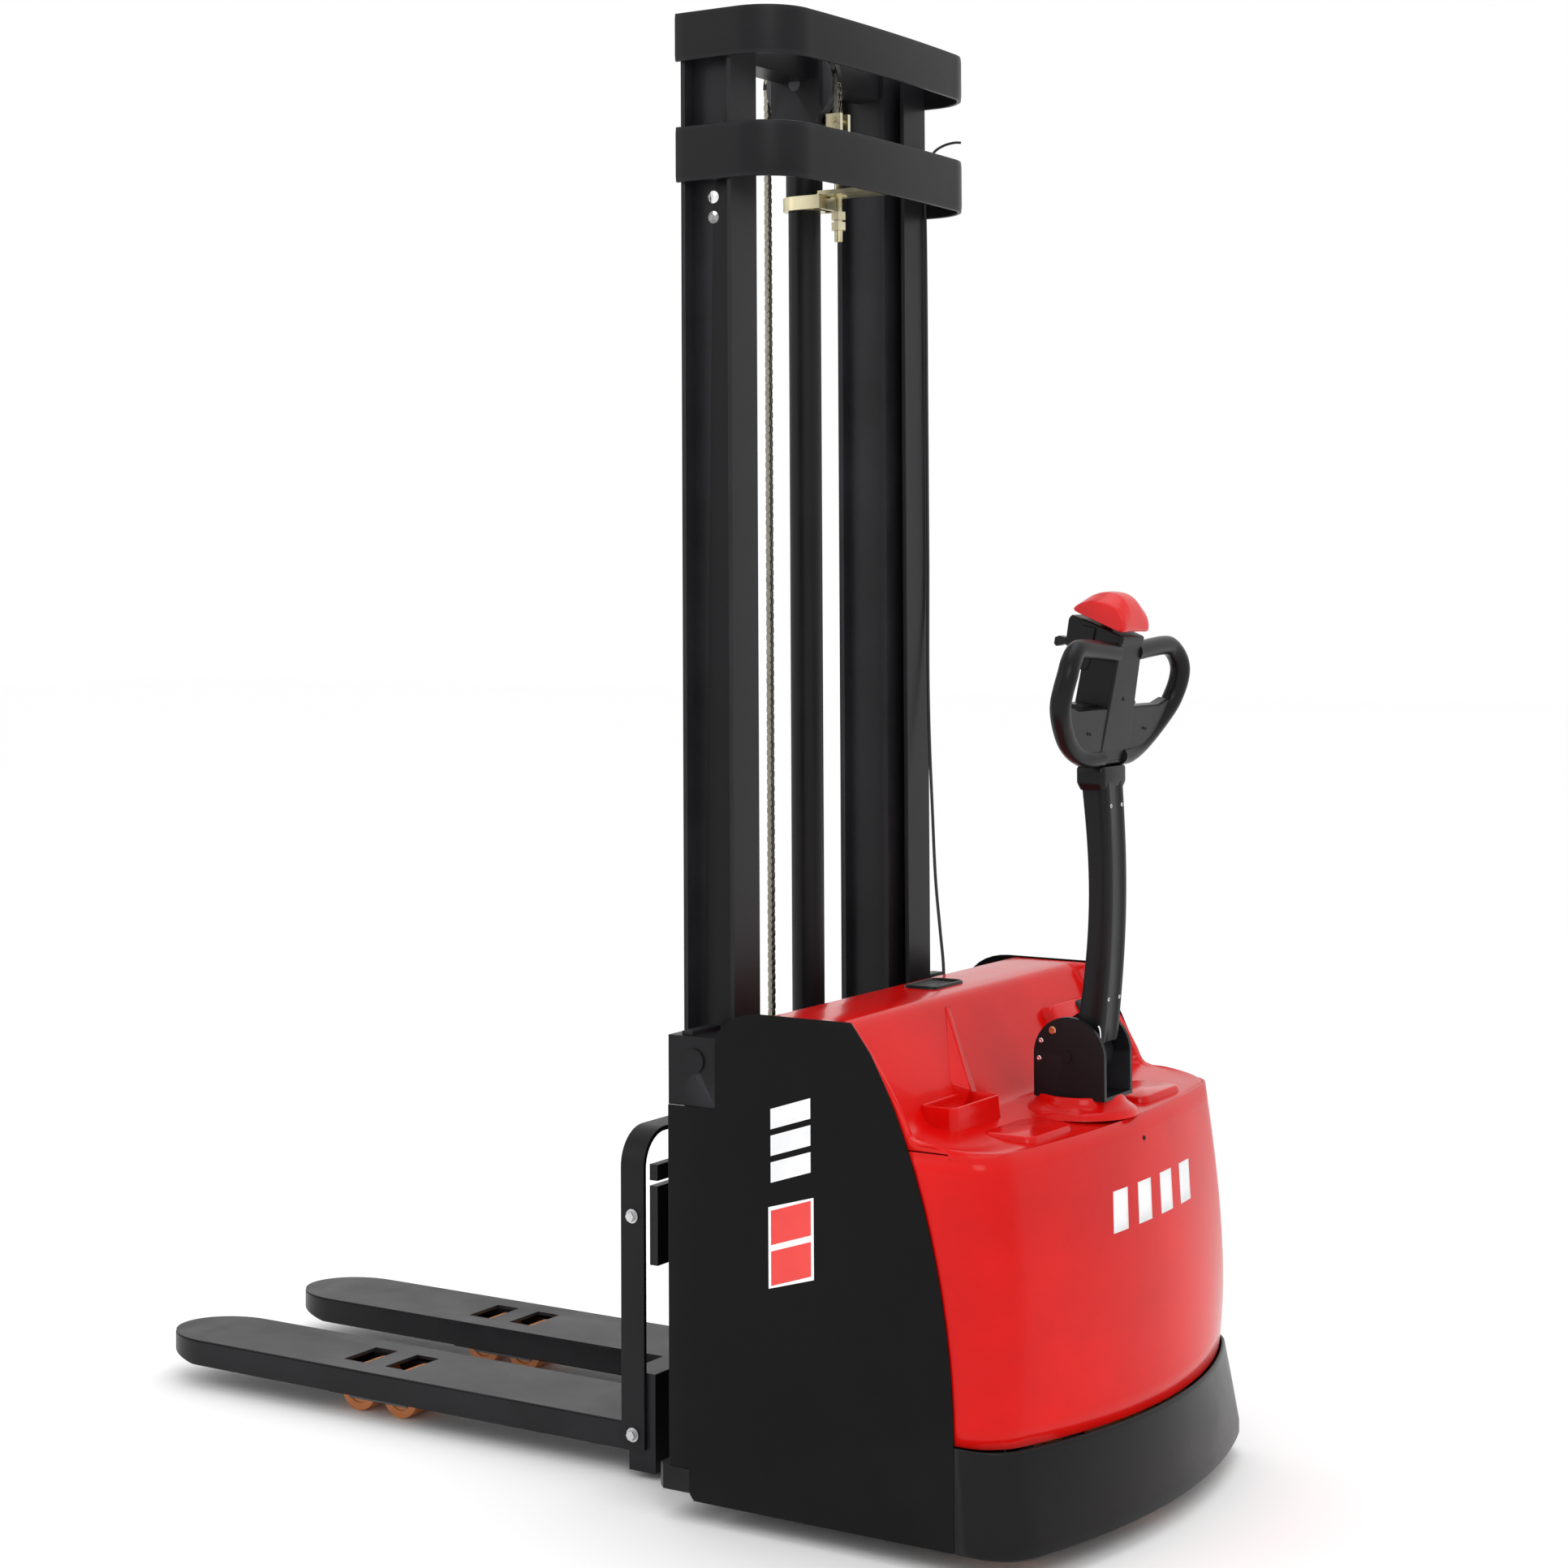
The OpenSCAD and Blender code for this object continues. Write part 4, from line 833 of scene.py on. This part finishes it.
def make_head():
    route = [(6, 36, 1393), (6, 95, 1398), (6, 150, 1401), (6, 177, 1398), (8, 200, 1382), (8, 212, 1362),
             (3, 216, 1340), (-4, 213, 1318), (-10, 202, 1298), (-18, 177, 1273), (-25, 146, 1249),
             (-28, 110, 1231),
             (-26, 72, 1222), (-24, 36, 1221)]
    path = smooth_path([(HEAD_X + x, y, z) for x, y, z in route], 5)
    tube = swept(path, lambda t: 15.6 + 1.6 * math.sin(math.pi * t), 22, 0.98)
    wing = prism([(0, 2), (62, 2), (96, 10), (132, 30), (172, 58), (200, 90), (184, 106), (150, 97),
                  (44, 98), (0, 98)], -14, 7, "x")
    loops = add_piece("head_loops", both_sides(tube), "tiller", "black_plastic")
    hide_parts("tiller_head")
    add_piece("head_wings", both_sides(wing), "tiller", "black_plastic", bevel=4, place=HEAD)
    column = loft([
        [(-56, -50, 8), (8, -52, 8), (8, 52, 8), (-56, 50, 8)],
        [(-56, -49, 60), (9, -51, 60), (9, 51, 60), (-56, 49, 60)],
        [(-56, -44, 140), (9, -46, 140), (9, 46, 140), (-56, 44, 140)],
        [(-56, -41, 212), (9, -42, 212), (9, 42, 212), (-56, 41, 212)],
    ])
    add_piece("head_column", column, "tiller", "black_plastic", bevel=5, sharp=30, place=HEAD)
    foot = loft([ring_at(rounded_rectangle(HEAD_X - 44, 0, lx, ly, 12), z) for lx, ly, z in
                 [(40, 84, 1206), (46, 96, 1209), (50, 102, 1218), (50, 104, 1236)]])
    add_piece("head_foot", foot, "tiller", "black_plastic")
    cheeks = prism([(-92, 184), (-64, 178), (-50, 178), (-50, 226), (-88, 236), (-93, 228)], 30, 40)
    roof = prism([(-92, 212), (-50, 212), (-50, 226), (-88, 236), (-93, 228)], -32, 32)
    step = prism([(-66, 158), (-58, 150), (-46, 150), (-40, 158), (-40, 222), (-66, 222)], 38, 46)
    housing = merged(both_sides(cheeks), roof, both_sides(step))
    add_piece("head_block", housing, "tiller", "black_plastic", bevel=3, sharp=30, place=HEAD)
    ledge = prism([(-52, 92), (-14, 92), (-14, 101), (-52, 98)], 44, 100)
    add_piece("head_ledges", both_sides(ledge), "tiller", "black_plastic", bevel=2, place=HEAD)
    dimples = merged(
        turned([(3.6, 0), (3.6, 1.0), (2.4, 1.2), (2.2, -0.6), (0.01, -0.6)], (8.8, 0, 112), "x", 20),
        turned([(3.0, 0), (3.0, 1.0), (2.0, 1.2), (1.8, -0.6), (0.01, -0.6)], (8.8, 104, 58), "x", 20),
        turned([(3.0, 0), (3.0, 1.0), (2.0, 1.2), (1.8, -0.6), (0.01, -0.6)], (8.8, -104, 58), "x", 20),
    )
    add_piece("head_screws", dimples, "tiller", "black_paint", place=HEAD)
    make_cap()
    levers = []
    outline = [(-117, 181), (-112, 178), (-98, 184), (-84, 188), (-70, 189), (-70, 203), (-86, 200),
               (-100, 195),
               (-110, 196), (-117, 192)]
    levers.append(both_sides(prism(outline, 11, 29)))
    levers.append(turned([(0.01, -29), (7, -29), (7, 29), (0.01, 29)], (-70, 0, 196), "y", 24))
    lever = add_piece("thumb_levers", merged(*levers), "throttle", "black_plastic", bevel=2, place=HEAD)
    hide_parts("throttle_rocker")


def make_cap():
    """Wedge-shaped safety button whose top falls away in a facet on each side, on a black crown."""
    profile = [(841, 1462), (843, 1470), (852, 1480), (870, 1490), (890, 1494), (910, 1491),
               (925, 1480), (935, 1462),
               (937, 1440), (935, 1422), (912, 1430), (880, 1444), (856, 1454)]
    middle = (890, 1456)
    rings = []
    for y, size in [(-48.5, 0.86), (-48, 0.93), (-46, 0.98), (-42, 1), (-34, 1), (-26, 1), (-22, 1),
                    (-16, 1), (0, 1),
                    (16, 1), (22, 1), (26, 1), (34, 1), (42, 1), (46, 0.98), (48, 0.93), (48.5, 0.86)]:
        fall = 0.34 * max(0.0, (abs(y) - 20) / 28) if abs(y) > 20 else 0.02 * (abs(y) / 20) ** 2
        ring = []
        for x, z in profile:
            base = 1462 - 0.4255 * (x - 841)
            lowered = base + max(0.0, z - base) * (1 - fall)
            ring.append((middle[0] + size * (x - middle[0]), y, middle[1] + size * (lowered - middle[1])))
        rings.append(ring)
    dome = add_piece("cap_dome", loft(rings), "belly_button", "stop_red", subdiv=2, sharp=180)
    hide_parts("belly_button")
    stem = turned([(0.01, 200), (10, 200), (10, 236), (0.01, 236)], (-38, 0, 0))
    add_piece("cap_stem", stem, "belly_button", "stop_red", place=HEAD)
    crown = prism([(860, 1394), (926, 1402), (931, 1418), (890, 1435), (852, 1450), (852, 1424)], -41, 41)
    add_piece("head_crown", crown, "tiller", "black_plastic", bevel=4, sharp=30)


def make_clevis_details():
    parts = [
        screw_head(STEER_X - 45, -52, 757, 4.2, 2, "y", -1),
        screw_head(STEER_X - 49, -52, 728, 4.2, 2, "y", -1),
        screw_head(STEER_X - 45, 52, 757, 4.2, 2, "y", 1),
        screw_head(STEER_X - 49, 52, 728, 4.2, 2, "y", 1),
    ]
    add_piece("clevis_screws", merged(*parts), "steering", "roller_steel", "steel_bright")
    bolt = merged(screw_head(STEER_X - 24, -52, 775, 6.5, 3, "y", -1),
                  screw_head(STEER_X - 24, 52, 775, 6.5, 3, "y", 1))
    add_piece("clevis_bolt", bolt, "steering", "zinc", "copper")
    rod = smooth_path([(STEER_X + 52, -38, 786), (STEER_X + 55, -38, 776), (STEER_X + 55, -38, 740),
                       (STEER_X + 55, -38, 712), (STEER_X + 51, -38, 704), (STEER_X + 57, -38, 697),
                       (STEER_X + 61, -38, 688), (STEER_X + 55, -38, 682)])
    add_piece("clevis_rod", swept(rod, 1.7, 10), "steering", "rod_chrome", "steel_bright")


# ---------------------------------------------------------------- carried-over CAD nodes


def finish_cad_nodes():
    """Every shown CAD node gets its slot's finish, merged vertices and softly broken edges."""
    slots = {s["node"]: s["material_slot"] for s in frame["record"]["subparts"]}
    slots["tiller_pin"] = "black_paint"
    slots["guard_bolts"] = "roller_steel"
    for name, piece in NODES.items():
        piece.data.materials.clear()
        piece.data.materials.append(MATERIALS[slots[name]])
        if "custom_normal" in piece.data.attributes:
            piece.data.attributes.remove(piece.data.attributes["custom_normal"])
        piece.data.shade_smooth()
        join = piece.modifiers.new("join", "WELD")
        join.merge_threshold = 0.00001
        edge = piece.modifiers.new("edges", "BEVEL")
        edge.width = 0.0012
        edge.segments = 2
        edge.limit_method = "ANGLE"
        edge.angle_limit = math.radians(32)
        edge.use_clamp_overlap = True
        piece.modifiers.new("shade", "WEIGHTED_NORMAL")


# ---------------------------------------------------------------- studio and camera


def make_studio():
    bpy.ops.mesh.primitive_plane_add(size=60, location=(0, 0, -0.0005))
    floor = bpy.context.object
    floor.name = "studio_floor"
    paper = bpy.data.materials.new("studio_paper")
    paper.use_nodes = True
    surface = paper.node_tree.nodes["Principled BSDF"]
    surface.inputs["Base Color"].default_value = (0.995, 0.995, 0.995, 1)
    surface.inputs["Roughness"].default_value = 0.85
    surface.inputs["Specular IOR Level"].default_value = 0.1
    floor.data.materials.append(paper)
    world = bpy.data.worlds.new("studio_world")
    world.use_nodes = True
    backdrop = world.node_tree.nodes["Background"]
    backdrop.inputs["Color"].default_value = (1, 1, 1, 1)
    backdrop.inputs["Strength"].default_value = 1.0
    bpy.context.scene.world = world
    bpy.context.scene.view_settings.view_transform = "Standard"
    for name, energy, size, place, aim in [
        ("key", 70, 2.4, (4.2, -4.6, 4.6), (0.6, 0, 0.8)),
        ("fill", 22, 3.0, (-3.6, -4.2, 3.2), (0, 0, 1.0)),
        ("top", 38, 3.0, (0.8, 0.4, 5.2), (0.6, 0, 0.8)),
    ]:
        data = bpy.data.lights.new(name, "AREA")
        data.energy = energy
        data.size = size
        lamp = bpy.data.objects.new(name, data)
        lamp.location = place
        lamp.rotation_euler = (Vector(aim) - Vector(place)).to_track_quat("-Z", "Y").to_euler()
        bpy.context.scene.collection.objects.link(lamp)


def make_camera():
    azimuth, pitch, roll = math.radians(32.67), math.radians(1.86), math.radians(-0.27)
    heading = Vector((-math.sin(azimuth), math.cos(azimuth), 0))
    forward = heading * math.cos(pitch) + Vector((0, 0, math.sin(pitch)))
    level = Vector((math.cos(azimuth), math.sin(azimuth), 0))
    lift = level.cross(forward)
    right = level * math.cos(roll) + lift * math.sin(roll)
    up = right.cross(forward)
    data = bpy.data.cameras.new("camera")
    data.sensor_width = 36
    data.lens = 65.73
    data.shift_x = 0.0133
    data.shift_y = -0.1887
    data.clip_end = 100
    camera = bpy.data.objects.new("camera", data)
    turn = Matrix((right, up, -forward)).transposed().to_4x4()
    camera.matrix_world = Matrix.Translation((2.95044, -4.27231, 1.51202)) @ turn
    bpy.context.scene.collection.objects.link(camera)
    bpy.context.scene.camera = camera


finish_cad_nodes()
make_hood()
make_rear_cover()
make_skirt()
make_cover_screw()
make_fittings()
make_marks()
make_mast()
make_guard()
make_lead()
make_arm()
make_head()
make_clevis_details()
make_studio()
make_camera()
